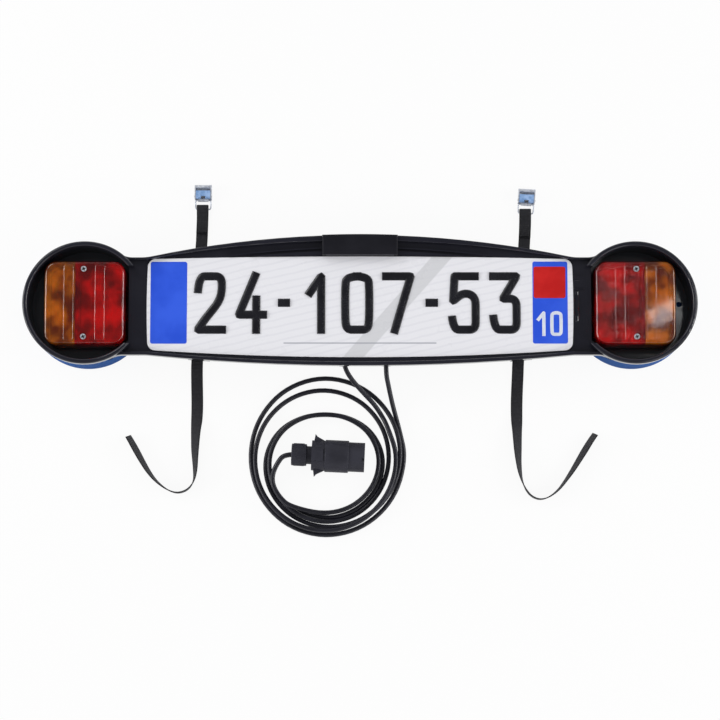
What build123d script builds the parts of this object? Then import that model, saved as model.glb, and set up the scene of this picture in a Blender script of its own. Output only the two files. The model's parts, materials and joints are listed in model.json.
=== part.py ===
from build123d import *
from math import cos, pi, radians, sin, tan
import os

# Trailer lighting board lying on its back, lamps up, in millimetres.
# The floor is Z = 0, +X runs along the board and +Y points to its upper edge.

# Board outline, measured from the line through the two lamp axes
cup_spacing = 670.0
cup_radius = 75.0
panel_length = 520.0
panel_top = 84.1
panel_bottom = 76.2
neck_top = 56.3
neck_bottom = 63.2
neck_fillet = 25.0
bow_fillet = 60.0

# Heights above the floor
face_z = 49.0
bead_z = 57.5
cup_rim_z = 66.0
skirt_z = 20.0
rib_z = 34.0

# Board moulding
wall = 2.5
skin = 3.0
bowl_radius = 69.0
bowl_flat = 53.0
bowl_floor = 3.0
neck_reach = 30.0
channel_reach = 20.0
mouth_top = 45.0
mouth_bottom = 50.0
rim_lip = 12.0
rim_over = 0.4
rim_round = 2.8
bead_round = 1.2
top_bead_middle = 7.0
top_bead_end = 2.6
bottom_bead_middle = 5.0
bottom_bead_end = 4.0
skirt_inset = 4.0
skirt_length = 532.0
rib_thick = 2.2
rib_places = (75.0, 118.0, 235.0)
ridge_inset = 14.4
ridge_width = 1.4
ridge_height = 4.5
ridge_end = 160.0
lip_inset = 18.7
lip_height = 4.0
drain_radius = 3.3
drain_offset = 58.4
drain_rise = 3.9
drain_collar = 6.0

# Rear covers
cover_wall = 2.2
cover_floor = 3.0
cover_round = 4.0
cover_open_end = 66.0
cover_step = 0.8
seat_gap = 0.3
screw_circle = 45.0
screw_shank = 1.6
screw_head = 3.7
boss_radius = 4.5
thread_gap = 0.05

# Number plate
plate_length = 520.0
plate_top_middle = 58.3
plate_top_end = 54.9
plate_bottom_middle = 65.5
plate_bottom_end = 56.6
plate_bulge = 1.5
plate_thick = 1.5
plate_corner = 10.0
plate_gap = 0.6

# Lamps
lamp_width = 100.0
lamp_height = 104.0
lamp_corner = 15.0
base_inset = 1.0
base_height = 12.0
base_wall = 2.5
base_floor = 2.5
gasket_thick = 1.0
gasket_width = 2.6
lens_height = 35.0
lens_wall = 2.5
lens_taper = 2.5
lens_round = 4.0
lens_split = 11.2
bar_offset = 19.0
bar_width = 12.5
bar_length = 93.0
bar_height = 2.5
bar_round = 1.6
bar_corner = 2.4
divider_thick = 1.8
divider_height = 22.0
lens_screw_offset = 1.0
lens_screw_spacing = 83.0
lens_screw_radius = 2.0
lens_screw_head = 3.6
lens_screw_sink = 2.6
pillar_radius = 4.8
bolt_spacing = 52.0
bolt_radius = 2.5
bolt_gap = 0.1
bolt_head_radius = 4.6
bolt_head = 3.0
nut_height = 4.0
nut_radius = 4.6
reflector_lift = 3.4
reflector_thick = 1.0
reflector_gap = 2.0
bulb_radius = 12.5
bulb_length = 30.0
cap_radius = 7.5
cap_length = 17.0
bulb_gap = 0.6
holder_wall = 2.0
holder_length = 12.0
indicator_share = 0.29
stop_share = -0.17

# Plate lamp
plate_lamp_length = 92.0
plate_lamp_height = 15.0
plate_lamp_wall = 2.2
plate_lamp_round = 2.0
plate_lamp_lens = 1.8
plate_lamp_gap = 0.2
festoon_radius = 4.5
festoon_length = 30.0
contact_thick = 0.8
contact_width = 7.0

# Leads
lead_radius = 2.5
lead_gap = 0.1
lead_pitch = 2.7
tail_pitch = 3.1
lane_y = -40.0
grommet_z = 27.0
grommet_flange = 6.4
grommet_neck = 4.3
grommet_rim = 1.5
left_exit_x = -19.6
right_exit_x = 31.9
lead_entry_y = -20.0
lead_entry_z = 20.5
coil_centre = (-41.3, -183.7)
coil_radius = 98.5
coil_height = 8.0
coil_round = 2.4
coil_hole_centre = (-39.4, -191.1)
coil_hole_width = 113.0
coil_hole_depth = 104.0

# Plug
plug_place = (-83.8, -181.7)
plug_turn = -2.6
gland_radius = 13.4
gland_length = 18.7
gland_neck_radius = 11.0
gland_neck_length = 6.0
collar_length = 16.2
collar_radius = 18.4
ear_reach = 26.2
ear_thick = 7.0
ear_step = 2.4
plug_radius = 19.7
plug_body_length = 29.0
plug_round = 1.0
nose_radius = 18.0
nose_length = 19.6
nose_bore = 15.6
nose_depth = 17.0
key_width = 4.6
key_depth = 3.0
key_turn = 12.5
panel_width = 15.0
panel_rise = 0.8
insert_thick = 6.0
pin_radius = 2.2
pin_length = 9.0
pin_circle = 9.4
pin_count = 6

# Straps and buckles
strap_width = 14.5
strap_thick = 1.4
strap_gap = 0.2
strap_lift = 4.95
lug_width = 27.0
lug_z = 1.5
slot_width = 19.0
slot_low = 4.0
slot_high = 8.0
flap_length = 34.0
fold_radius = 1.9
fold_reach = 3.5
buckle_width = 21.0
buckle_length = 18.6
sheet_thick = 1.2
buckle_lift = 0.3
bail_z = 2.75
bail_wire = 0.9
bail_width = 18.9
bail_length = 11.6
bail_corner = 2.5
knuckle_radius = 2.1
knuckle_width = 13.0
running_gap = 0.06
pin_y = 4.2
pin_z = 6.6
pivot_radius = 1.2
cheek_top = 9.2
cheek_start = 0.8
cheek_round = 2.2
top_bar_radius = 2.0
top_bar_z = 6.2
lever_side_gap = 0.4
lever_length = 11.2
lever_thick = 1.1
barrel_radius = 3.1
cam_radius = 3.9
cam_width = 1.6
spring_radius = 1.7
spring_wire = 0.5
spring_width = 4.6
spring_room = 0.4

# Values worked out from the sizes above
cup_x = cup_spacing / 2
panel_half = panel_length / 2
axis_y = (panel_bottom - panel_top) / 2
sides = {"left": -1, "right": 1}
bowl_z = cup_rim_z - 52.0
base_floor_z = bowl_z + base_floor
base_rim_z = bowl_z + base_height
lens_z = base_rim_z + gasket_thick
lens_top_z = lens_z + lens_height
bulb_z = base_floor_z + 17.5
indicator_place = indicator_share * lamp_width
stop_place = stop_share * lamp_width
cover_neck_z = face_z - skin - seat_gap
cover_cup_z = cup_rim_z - rim_lip - seat_gap
plate_lamp_y = plate_top_middle + plate_gap
lower_bow = (panel_half ** 2 + (panel_bottom - neck_bottom) ** 2) / (2 * (panel_bottom - neck_bottom))
grommet_half = wall / 2 + grommet_rim + seat_gap / 2
buckle_places = {"left": (-195.0, 136.4, 0.0), "right": (206.7, 131.4, -3.4)}

os.makedirs("parts", exist_ok=True)


def save(piece, name):
    piece.part.label = name
    export_step(piece.part, f"parts/{name}.step")


def grommet_y(x):
    return skirt_inset + wall / 2 - panel_bottom + x * x / (2 * lower_bow)


def level(z):
    return Plane(origin=(0, axis_y, z))


def cup_level(side, z):
    return Plane(origin=(side * cup_x, axis_y, z), x_dir=(side, 0, 0))


def bowed_sketch(top_middle, top_end, bottom_middle, bottom_end, reach):
    # Strip with a bowed upper and lower edge and straight necks out to the reach
    with BuildSketch() as strip:
        with BuildLine():
            ThreePointArc((-panel_half, top_end), (0, top_middle), (panel_half, top_end))
            Polyline((panel_half, top_end), (reach, top_end), (reach, -bottom_end), (panel_half, -bottom_end))
            ThreePointArc((panel_half, -bottom_end), (0, -bottom_middle), (-panel_half, -bottom_end))
            Polyline((-panel_half, -bottom_end), (-reach, -bottom_end), (-reach, top_end), (-panel_half, top_end))
        make_face()
    return strip.sketch


def inset_strip(inset, reach):
    return bowed_sketch(panel_top - inset, neck_top - inset, panel_bottom - inset, neck_bottom - inset, reach)


def outline_sketch():
    with BuildSketch() as shape:
        add(inset_strip(0, cup_x))
        with Locations((-cup_x, 0), (cup_x, 0)):
            Circle(cup_radius - rim_over)
        bends = shape.vertices().filter_by(lambda v: abs(abs(v.X) - panel_half) < 1)
        fillet(bends, bow_fillet)
        corners = shape.vertices().filter_by(lambda v: panel_half + 15 < abs(v.X) < cup_x - 1)
        fillet(corners, neck_fillet)
    return shape.sketch


def cup_sketch(radius, flat):
    # Round cup cut off straight on the side towards the number plate
    with BuildSketch() as cup:
        Circle(radius)
        with Locations((-flat, 0)):
            Rectangle(radius, 2 * radius, align=(Align.MAX, Align.CENTER), mode=Mode.SUBTRACT)
    return cup.sketch


def plate_sketch(grow):
    top_end = plate_top_end + grow
    bottom_end = -plate_bottom_end - grow
    half = plate_length / 2 - plate_bulge + grow
    with BuildSketch() as plate:
        with BuildLine():
            ThreePointArc((-half, top_end), (0, plate_top_middle + grow), (half, top_end))
            ThreePointArc((half, top_end), (half + plate_bulge, 0), (half, bottom_end))
            ThreePointArc((half, bottom_end), (0, -plate_bottom_middle - grow), (-half, bottom_end))
            ThreePointArc((-half, bottom_end), (-half - plate_bulge, 0), (-half, top_end))
        make_face()
        fillet(plate.vertices(), plate_corner + grow)
    return plate.sketch


outline = outline_sketch()
field = bowed_sketch(panel_top - top_bead_middle, neck_top - top_bead_end,
                     panel_bottom - bottom_bead_middle, neck_bottom - bottom_bead_end, cup_x - channel_reach)
skirt_outside = inset_strip(skirt_inset, skirt_length / 2)
skirt_inside = inset_strip(skirt_inset + wall, skirt_length / 2 + 1)
ridge_outside = inset_strip(ridge_inset, panel_half + 1)
ridge_inside = inset_strip(ridge_inset + ridge_width, panel_half + 1)
lip_outside = inset_strip(lip_inset, panel_half + 1)
bowl_outside = cup_sketch(bowl_radius + wall, bowl_flat + wall)
bowl_inside = cup_sketch(bowl_radius, bowl_flat)
plate_shape = plate_sketch(0)
plate_room = plate_sketch(plate_gap)

# Raised bead that runs along the edge of panel and necks
with BuildPart() as bead:
    with BuildSketch(level(face_z)):
        add(outline)
        add(field, mode=Mode.SUBTRACT)
        with Locations((cup_x - neck_reach - 4, 0)):
            Rectangle(200, 300, align=(Align.MIN, Align.CENTER), mode=Mode.SUBTRACT)
        with Locations((neck_reach + 4 - cup_x, 0)):
            Rectangle(200, 300, align=(Align.MAX, Align.CENTER), mode=Mode.SUBTRACT)
        with Locations((0, panel_top)):
            Rectangle(plate_lamp_length + 2 * plate_lamp_gap, 50, mode=Mode.SUBTRACT)
    extrude(amount=bead_z - face_z)
    top_edges = bead.edges().group_by(Axis.Z)[-1]
    fillet(top_edges.filter_by(lambda e: e.length > 12), bead_round)

# Board moulding: skin, bead, cups, channel, skirts, ribs, lugs and holes
with BuildPart() as board_shell:
    with BuildSketch(level(face_z - skin)):
        add(outline)
        with Locations((cup_x - neck_reach, 0)):
            Rectangle(200, 300, align=(Align.MIN, Align.CENTER), mode=Mode.SUBTRACT)
        with Locations((neck_reach - cup_x, 0)):
            Rectangle(200, 300, align=(Align.MAX, Align.CENTER), mode=Mode.SUBTRACT)
    extrude(amount=skin)
    add(bead.part)
    for side in sides.values():
        with BuildSketch(cup_level(side, bowl_z - bowl_floor)):
            add(bowl_outside)
        extrude(amount=face_z - bowl_z + bowl_floor)
        with BuildSketch(cup_level(side, face_z)):
            Circle(bowl_radius + wall)
        extrude(amount=cup_rim_z - rim_lip - face_z)
        with BuildSketch(Plane(origin=(side * cup_x, axis_y, 0), x_dir=(1, 0, 0), z_dir=(0, -1, 0))) as rim:
            with Locations((bowl_radius, cup_rim_z)):
                Rectangle(cup_radius - bowl_radius, rim_lip, align=(Align.MIN, Align.MAX))
            fillet(rim.vertices().group_by(Axis.Y)[-1], rim_round)
        revolve(axis=Axis((side * cup_x, axis_y, 0), (0, 0, 1)))
        with BuildSketch(cup_level(side, bowl_z)):
            add(bowl_inside)
        extrude(amount=cup_rim_z, mode=Mode.SUBTRACT)
        with BuildSketch(cup_level(side, face_z)):
            Circle(bowl_radius)
        extrude(amount=cup_rim_z, mode=Mode.SUBTRACT)
    with BuildSketch(level(face_z)):
        add(field)
        with Locations((0, mouth_top)):
            Rectangle(2 * cup_x, 200, align=(Align.CENTER, Align.MIN), mode=Mode.SUBTRACT)
        with Locations((0, -mouth_bottom)):
            Rectangle(2 * cup_x, 200, align=(Align.CENTER, Align.MAX), mode=Mode.SUBTRACT)
    extrude(amount=cup_rim_z, mode=Mode.SUBTRACT)

    # Ridge and lip in the crescent over the number plate
    with BuildSketch(level(face_z)):
        add(ridge_outside)
        add(ridge_inside, mode=Mode.SUBTRACT)
        with Locations((0, panel_top)):
            Rectangle(2 * ridge_end, 60, mode=Mode.INTERSECT)
        Rectangle(plate_lamp_length + 2 * plate_lamp_gap, 300, mode=Mode.SUBTRACT)
        add(plate_room, mode=Mode.SUBTRACT)
    extrude(amount=ridge_height)
    with BuildSketch(level(face_z)):
        add(lip_outside)
        with Locations((0, panel_top)):
            Rectangle(2 * ridge_end, 60, mode=Mode.INTERSECT)
        Rectangle(plate_lamp_length + 2 * plate_lamp_gap, 300, mode=Mode.SUBTRACT)
        add(plate_room, mode=Mode.SUBTRACT)
    extrude(amount=lip_height)

    # Small ribs on the right neck beside the plate
    with Locations((267.2, axis_y + 36.2, face_z), (267.2, axis_y + 18.0, face_z)):
        Box(10.0, 1.2, 1.5, align=(Align.CENTER, Align.CENTER, Align.MIN))
    with Locations((264.6, axis_y - 2.0, face_z)):
        Box(2.0, 26.0, 1.2, align=(Align.CENTER, Align.CENTER, Align.MIN))

    # Skirt behind the panel and the slotted strap lugs that hang from it
    with BuildSketch(level(skirt_z)):
        add(skirt_outside)
        add(skirt_inside, mode=Mode.SUBTRACT)
    extrude(amount=face_z - skin - skirt_z)
    with BuildSketch(level(lug_z)):
        add(skirt_outside)
        add(skirt_inside, mode=Mode.SUBTRACT)
        with Locations((-199.0, 0), (199.0, 0)):
            Rectangle(lug_width, 300, mode=Mode.INTERSECT)
    extrude(amount=skirt_z - lug_z)
    with Locations((-197.3, 60, slot_low), (202.6, 60, slot_low),
                   (-201.2, -70, slot_low), (195.0, -70, slot_low)):
        Box(slot_width, 40, slot_high - slot_low,
            align=(Align.CENTER, Align.CENTER, Align.MIN), mode=Mode.SUBTRACT)

    # Cross ribs with a notch for the inner leads
    with BuildSketch(level(rib_z)):
        for place in rib_places:
            with Locations((-place, 0), (place, 0)):
                Rectangle(rib_thick, 2 * panel_bottom - 2 * skirt_inset - 36)
        with Locations((0, lane_y)):
            Rectangle(2 * panel_half, 4 * lead_radius, mode=Mode.SUBTRACT)
    extrude(amount=face_z - skin - rib_z)

    # Screw bosses under the cups, lamp bolt holes, lead holes, grommet holes and drain hole
    for side in sides.values():
        with BuildSketch(cup_level(side, cover_floor)):
            with PolarLocations(screw_circle, 3):
                Circle(boss_radius)
            with PolarLocations(screw_circle, 3):
                Circle(screw_shank + thread_gap, mode=Mode.SUBTRACT)
        extrude(amount=bowl_z - bowl_floor - cover_floor)
        with BuildSketch(cup_level(side, 0)):
            with Locations((0, bolt_spacing / 2), (0, -bolt_spacing / 2)):
                Circle(bolt_radius + bolt_gap)
        extrude(amount=bowl_z, mode=Mode.SUBTRACT)
        entry = (side * (cup_x - bowl_flat), axis_y + side * lead_entry_y, lead_entry_z)
        with Locations(Location(entry, (0, 90, 0))):
            Cylinder(lead_radius + lead_gap, 12, mode=Mode.SUBTRACT)
    for exit_x in (left_exit_x, right_exit_x):
        with Locations(Location((exit_x, axis_y + grommet_y(exit_x), grommet_z), (90, 0, 0))):
            Cylinder(grommet_neck + lead_gap, 10, mode=Mode.SUBTRACT)
    with BuildSketch(cup_level(1, bowl_z)):
        with Locations((drain_offset, drain_rise)):
            Circle(drain_collar)
    extrude(amount=1.0)
    with BuildSketch(cup_level(1, 0)):
        with Locations((drain_offset, drain_rise)):
            Circle(drain_radius)
    extrude(amount=bowl_z + 1.0, mode=Mode.SUBTRACT)

save(board_shell, "board_shell")

# Blue rear covers: round pans, open towards the panel, with their screws
for name, side in sides.items():
    with BuildPart() as rear_cover:
        with BuildSketch(cup_level(side, 0)):
            add(cup_sketch(cup_radius, cover_open_end))
        extrude(amount=cover_neck_z)
        with BuildSketch(cup_level(side, cover_neck_z)):
            add(cup_sketch(cup_radius, neck_reach - cover_step))
        extrude(amount=cover_cup_z - cover_neck_z)
        fillet(rear_cover.edges().group_by(Axis.Z)[0].filter_by(GeomType.CIRCLE), cover_round)
        with BuildSketch(cup_level(side, cover_floor)):
            Circle(cup_radius - cover_wall)
        extrude(amount=cup_rim_z, mode=Mode.SUBTRACT)
        with Locations(cup_level(side, 0)):
            with PolarLocations(screw_circle, 3):
                Cone(screw_head + 2 * thread_gap, screw_shank + 2 * thread_gap, cover_floor,
                     align=(Align.CENTER, Align.CENTER, Align.MIN), mode=Mode.SUBTRACT)
    save(rear_cover, f"{name}_rear_cover")

    with BuildPart() as cover_screws:
        with Locations(cup_level(side, thread_gap)):
            with PolarLocations(screw_circle, 3):
                Cone(screw_head, screw_shank, cover_floor - seat_gap, align=(Align.CENTER, Align.CENTER, Align.MIN))
            with PolarLocations(screw_circle, 3):
                Cylinder(screw_shank, bowl_z - bowl_floor - seat_gap, align=(Align.CENTER, Align.CENTER, Align.MIN))
    save(cover_screws, f"{name}_cover_screws")

# Lamps: the same lamp twice, turned half round on the left
for name, side in sides.items():
    base_width = lamp_width - 2 * base_inset
    base_depth = lamp_height - 2 * base_inset
    base_corner = lamp_corner - base_inset
    screw_places = ((lens_screw_offset, lens_screw_spacing / 2), (lens_screw_offset, -lens_screw_spacing / 2))
    bolt_places = ((0, bolt_spacing / 2), (0, -bolt_spacing / 2))
    holder_y = -bulb_length / 2 - cap_length / 2 + bulb_gap
    bulb_foot = -bulb_length / 2
    cap_end = bulb_foot - cap_length

    with BuildPart() as lamp_base:
        with BuildSketch(cup_level(side, bowl_z)):
            RectangleRounded(base_width, base_depth, base_corner)
        extrude(amount=base_height)
        with BuildSketch(cup_level(side, base_floor_z)):
            RectangleRounded(base_width - 2 * base_wall, base_depth - 2 * base_wall, base_corner - base_wall)
            with Locations((lens_split, 0)):
                Rectangle(divider_thick, base_depth, mode=Mode.SUBTRACT)
            with Locations(*screw_places):
                Circle(pillar_radius, mode=Mode.SUBTRACT)
        extrude(amount=base_height, mode=Mode.SUBTRACT)
        with BuildSketch(cup_level(side, base_floor_z)):
            with Locations(*screw_places):
                Circle(lens_screw_radius + thread_gap)
        extrude(amount=base_height, mode=Mode.SUBTRACT)
        with BuildSketch(cup_level(side, bowl_z)):
            with Locations(*bolt_places):
                Circle(bolt_radius + bolt_gap)
        extrude(amount=base_floor, mode=Mode.SUBTRACT)
        entry = (side * (cup_x - base_width / 2), axis_y + side * lead_entry_y, lead_entry_z)
        with Locations(Location(entry, (0, 90, 0))):
            Cylinder(lead_radius + lead_gap, 8, mode=Mode.SUBTRACT)
    save(lamp_base, f"{name}_lamp_base")

    with BuildPart() as gasket:
        with BuildSketch(cup_level(side, base_rim_z)):
            RectangleRounded(base_width, base_depth, base_corner)
            RectangleRounded(base_width - 2 * gasket_width, base_depth - 2 * gasket_width,
                             base_corner - gasket_width, mode=Mode.SUBTRACT)
        extrude(amount=gasket_thick)
    save(gasket, f"{name}_lamp_gasket")

    with BuildPart() as reflector:
        with BuildSketch(cup_level(side, base_floor_z + reflector_lift)):
            RectangleRounded(base_width - 2 * base_wall - 2 * reflector_gap,
                             base_depth - 2 * base_wall - 2 * reflector_gap, base_corner - base_wall)
            with Locations((lens_split, 0)):
                Rectangle(divider_thick + 2 * reflector_gap, base_depth, mode=Mode.SUBTRACT)
            with Locations(*screw_places):
                Circle(pillar_radius + reflector_gap, mode=Mode.SUBTRACT)
            with Locations((indicator_place, holder_y), (stop_place, holder_y)):
                Rectangle(2 * cap_radius, holder_length + reflector_gap, mode=Mode.SUBTRACT)
        extrude(amount=reflector_thick)
    save(reflector, f"{name}_lamp_reflector")

    with BuildPart() as bulb_holders:
        for place in (indicator_place, stop_place):
            with BuildSketch(cup_level(side, base_floor_z)):
                with Locations((place, holder_y)):
                    Rectangle(cap_radius, holder_length)
            extrude(amount=bulb_z - base_floor_z)
            with Locations(cup_level(side, bulb_z)):
                with Locations(Location((place, holder_y, 0), (90, 0, 0))):
                    Cylinder(cap_radius + holder_wall, holder_length)
                    Cylinder(cap_radius + thread_gap, 3 * holder_length, mode=Mode.SUBTRACT)
    save(bulb_holders, f"{name}_lamp_bulb_holders")

    for bulb_name, place in (("indicator", indicator_place), ("stop_tail", stop_place)):
        with BuildPart() as bulb:
            with BuildSketch(cup_level(side, bulb_z)):
                with BuildLine():
                    Polyline((place, cap_end), (place + cap_radius, cap_end),
                             (place + cap_radius, bulb_foot), (place + cap_radius - bulb_gap, bulb_foot))
                    ThreePointArc((place + cap_radius - bulb_gap, bulb_foot),
                                  (place + bulb_radius - 1.4, bulb_gap - bulb_radius / 2),
                                  (place + bulb_radius, 1.5))
                    ThreePointArc((place + bulb_radius, 1.5),
                                  (place + bulb_radius * sin(radians(45)), 1.5 + bulb_radius * cos(radians(45))),
                                  (place, 1.5 + bulb_radius))
                    Line((place, 1.5 + bulb_radius), (place, cap_end))
                make_face()
            revolve(axis=Axis((side * (cup_x + place), axis_y, bulb_z), (0, 1, 0)))
        save(bulb, f"{name}_{bulb_name}_bulb")

    for colour, keep in (("red", Align.MAX), ("amber", Align.MIN)):
        bar_place = bar_offset if colour == "amber" else -bar_offset
        with BuildPart() as lens:
            with BuildSketch(cup_level(side, lens_z)):
                RectangleRounded(lamp_width, lamp_height, lamp_corner)
            extrude(amount=lens_height, taper=lens_taper)
            fillet(lens.edges().group_by(Axis.Z)[-1], lens_round)
            with BuildSketch(cup_level(side, lens_top_z - lens_wall)):
                with Locations((bar_place, 0)):
                    RectangleRounded(bar_width, bar_length, bar_corner)
            extrude(amount=bar_height + lens_wall)
            fillet(lens.edges().group_by(Axis.Z)[-1], bar_round)
            with BuildSketch(cup_level(side, lens_z)):
                RectangleRounded(lamp_width - 2 * lens_wall, lamp_height - 2 * lens_wall, lamp_corner - lens_wall)
            extrude(amount=lens_height - lens_wall, taper=lens_taper, mode=Mode.SUBTRACT)
            if colour == "red":
                with BuildSketch(cup_level(side, lens_z)):
                    with Locations(*screw_places):
                        Circle(pillar_radius)
                extrude(amount=lens_height - lens_wall / 2)
                with BuildSketch(cup_level(side, lens_z)):
                    with Locations(*screw_places):
                        Circle(lens_screw_radius + thread_gap)
                extrude(amount=lens_height, mode=Mode.SUBTRACT)
                with BuildSketch(cup_level(side, lens_top_z - lens_screw_sink)):
                    with Locations(*screw_places):
                        Circle(lens_screw_head + seat_gap)
                extrude(amount=lens_height, mode=Mode.SUBTRACT)
                with BuildSketch(cup_level(side, lens_top_z - lens_wall / 2)):
                    with Locations((lens_split - divider_thick / 2, 0)):
                        Rectangle(divider_thick, lamp_height - 6 * lens_wall)
                extrude(amount=-divider_height)
            with BuildSketch(cup_level(side, lens_z)):
                with Locations((lens_split, 0)):
                    Rectangle(2 * lamp_width, 2 * lamp_height, align=(keep, Align.CENTER))
            extrude(amount=2 * lens_height, mode=Mode.INTERSECT)
        save(lens, f"{name}_{colour}_lens")

    with BuildPart() as lens_screws:
        with BuildSketch(cup_level(side, base_floor_z + bolt_gap)):
            with Locations(*screw_places):
                Circle(lens_screw_radius)
        extrude(amount=lens_top_z - lens_screw_sink - base_floor_z)
        with BuildSketch(cup_level(side, lens_top_z - lens_screw_sink)):
            with Locations(*screw_places):
                Circle(lens_screw_head)
        extrude(amount=lens_screw_sink - seat_gap)
        fillet(lens_screws.edges().group_by(Axis.Z)[-1], 1.0)
    save(lens_screws, f"{name}_lens_screws")

    with BuildPart() as lamp_bolts:
        with BuildSketch(cup_level(side, base_floor_z)):
            with Locations(*bolt_places):
                Circle(bolt_head_radius)
        extrude(amount=bolt_head)
        with BuildSketch(cup_level(side, base_floor_z)):
            with Locations(*bolt_places):
                Circle(bolt_radius)
        extrude(amount=-(base_floor_z - cover_floor - bolt_radius))
    save(lamp_bolts, f"{name}_lamp_bolts")

    with BuildPart() as lamp_nuts:
        with BuildSketch(cup_level(side, bowl_z - bowl_floor)):
            with Locations(*bolt_places):
                RegularPolygon(nut_radius, 6)
            with Locations(*bolt_places):
                Circle(bolt_radius + thread_gap, mode=Mode.SUBTRACT)
        extrude(amount=-nut_height)
    save(lamp_nuts, f"{name}_lamp_nuts")

# Number plate and the lamp block over it
with BuildPart() as number_plate:
    with BuildSketch(level(face_z)):
        add(plate_shape)
    extrude(amount=plate_thick)
save(number_plate, "number_plate")

lamp_front = Plane(origin=(0, axis_y + plate_lamp_y, face_z), x_dir=(1, 0, 0), z_dir=(0, -1, 0))
room_width = plate_lamp_length - 4 * plate_lamp_wall
room_height = plate_lamp_height - 2 * plate_lamp_wall
with BuildPart() as plate_lamp_housing:
    with BuildSketch(level(face_z)):
        add(outline)
        with Locations((0, plate_lamp_y)):
            Rectangle(plate_lamp_length, 60, align=(Align.CENTER, Align.MIN), mode=Mode.INTERSECT)
    extrude(amount=plate_lamp_height)
    fillet(plate_lamp_housing.edges().group_by(Axis.Z)[-1], plate_lamp_round)
    with BuildSketch(lamp_front):
        with Locations((0, plate_lamp_height / 2)):
            Rectangle(room_width, room_height)
    extrude(amount=-18, mode=Mode.SUBTRACT)
save(plate_lamp_housing, "plate_lamp_housing")

with BuildPart() as plate_lamp_cover:
    with BuildSketch(lamp_front):
        with Locations((0, plate_lamp_height / 2)):
            Rectangle(room_width - 2 * plate_lamp_gap, room_height - 2 * plate_lamp_gap)
    extrude(amount=-plate_lamp_lens)
save(plate_lamp_cover, "plate_lamp_lens")

festoon_place = (0, axis_y + plate_lamp_y + 9.5, face_z + plate_lamp_height / 2)
with BuildPart() as festoon:
    with Locations(Location(festoon_place, (0, 90, 0))):
        Cylinder(festoon_radius, festoon_length - 6)
        Cylinder(festoon_radius - 1.2, festoon_length)
    fillet(festoon.edges().filter_by(lambda e: abs(abs(e.center().X) - festoon_length / 2) < 0.1), 1.2)
save(festoon, "plate_lamp_bulb")

with BuildPart() as contacts:
    for end in (-1, 1):
        with Locations((end * (festoon_length + contact_thick) / 2, festoon_place[1], face_z + plate_lamp_wall)):
            Box(contact_thick, contact_width, room_height - 2, align=(Align.CENTER, Align.CENTER, Align.MIN))
save(contacts, "plate_lamp_contacts")


def bend_radii(points):
    # Largest even bend at each inner point that still leaves a straight bit on both sides
    radii = []
    for before, here, after in zip(points, points[1:], points[2:]):
        into = Vector(*here) - Vector(*before)
        out = Vector(*after) - Vector(*here)
        turn = radians(max(into.get_angle(out), 0.5))
        radii.append(min(0.45 * min(into.length, out.length) / tan(turn / 2), 400.0))
    return radii


def lead_tube(points, name):
    placed = [(x, axis_y + y, z) for x, y, z in points]
    with BuildPart() as tube:
        with BuildLine() as route:
            FilletPolyline(*placed, radius=bend_radii(placed))
        with BuildSketch(Plane(origin=route.line @ 0, z_dir=route.line % 0)):
            Circle(lead_radius)
        sweep()
    save(tube, name)
    length = sum(edge.length for edge in route.edges())
    filled = tube.part.volume / (pi * lead_radius ** 2 * length)
    tightest = min(bend_radii(placed))
    print(name, "length", round(length), "tightest bend", round(tightest, 1), "fill", round(filled, 3))


# Grommets in the lower skirt
for name, exit_x in (("left", left_exit_x), ("right", right_exit_x)):
    with BuildPart() as grommet:
        with Locations(Location((exit_x, axis_y + grommet_y(exit_x), grommet_z), (90, 0, 0))):
            Cylinder(grommet_flange, 2 * grommet_half)
            Cylinder(grommet_flange + 1, wall + seat_gap, mode=Mode.SUBTRACT)
            Cylinder(grommet_neck, 2 * grommet_half)
            Cylinder(lead_radius + thread_gap, 3 * grommet_flange, mode=Mode.SUBTRACT)
    save(grommet, f"{name}_grommet")

# Inner leads from the lamps through the rib notches to the grommets
lead_start = cup_x - lamp_width / 2 + base_inset + base_wall
left_gate = grommet_y(left_exit_x) + grommet_half
right_gate = grommet_y(right_exit_x) + grommet_half
lead_tube([(-lead_start, -lead_entry_y, lead_entry_z), (-251, -lead_entry_y, lead_entry_z), (-214, -2, 27),
           (-176, -28, 35), (-136, lane_y, 37), (-94, lane_y - 1, 36.6), (-57, lane_y, 37), (-39, -43, 34.5),
           (-26, -49, 30.5), (left_exit_x, -58.5, grommet_z),
           (left_exit_x, left_gate, grommet_z)], "left_inner_lead")
lead_tube([(lead_start, lead_entry_y, lead_entry_z), (251, lead_entry_y, lead_entry_z), (213, -28, 28),
           (174, -37, 36), (134, lane_y, 37), (96, lane_y, 37), (64, -41, 36), (47, -44, 33), (36, -50.5, 29.5),
           (right_exit_x, -58.5, grommet_z), (right_exit_x, right_gate, grommet_z)], "right_inner_lead")

# Free leads from the grommets down on to the coil
lead_tube([(left_exit_x, left_gate, grommet_z), (left_exit_x, -78.8, grommet_z), (-13, -91, 21.5),
           (4, -105.5, 13.5), (17.5, -119, 7), (27, -133, 3.6), (32.5, -146, 3)], "left_lead")
lead_tube([(right_exit_x, right_gate, grommet_z), (right_exit_x, -83.5, grommet_z), (34.4, -95, 21),
           (37.3, -108, 13), (40.5, -121, 6.5), (44.3, -135, 3.3), (48.6, -151, 2.8)], "right_lead")

# Both leads wound up together, as one ring of the coil's outer shape
with BuildPart() as lead_coil:
    with BuildSketch(level(0)):
        with Locations(coil_centre):
            Circle(coil_radius)
        with Locations(coil_hole_centre):
            Ellipse(coil_hole_width / 2, coil_hole_depth / 2, mode=Mode.SUBTRACT)
    extrude(amount=coil_height)
    fillet(lead_coil.edges(), coil_round)
save(lead_coil, "lead_coil")

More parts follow.
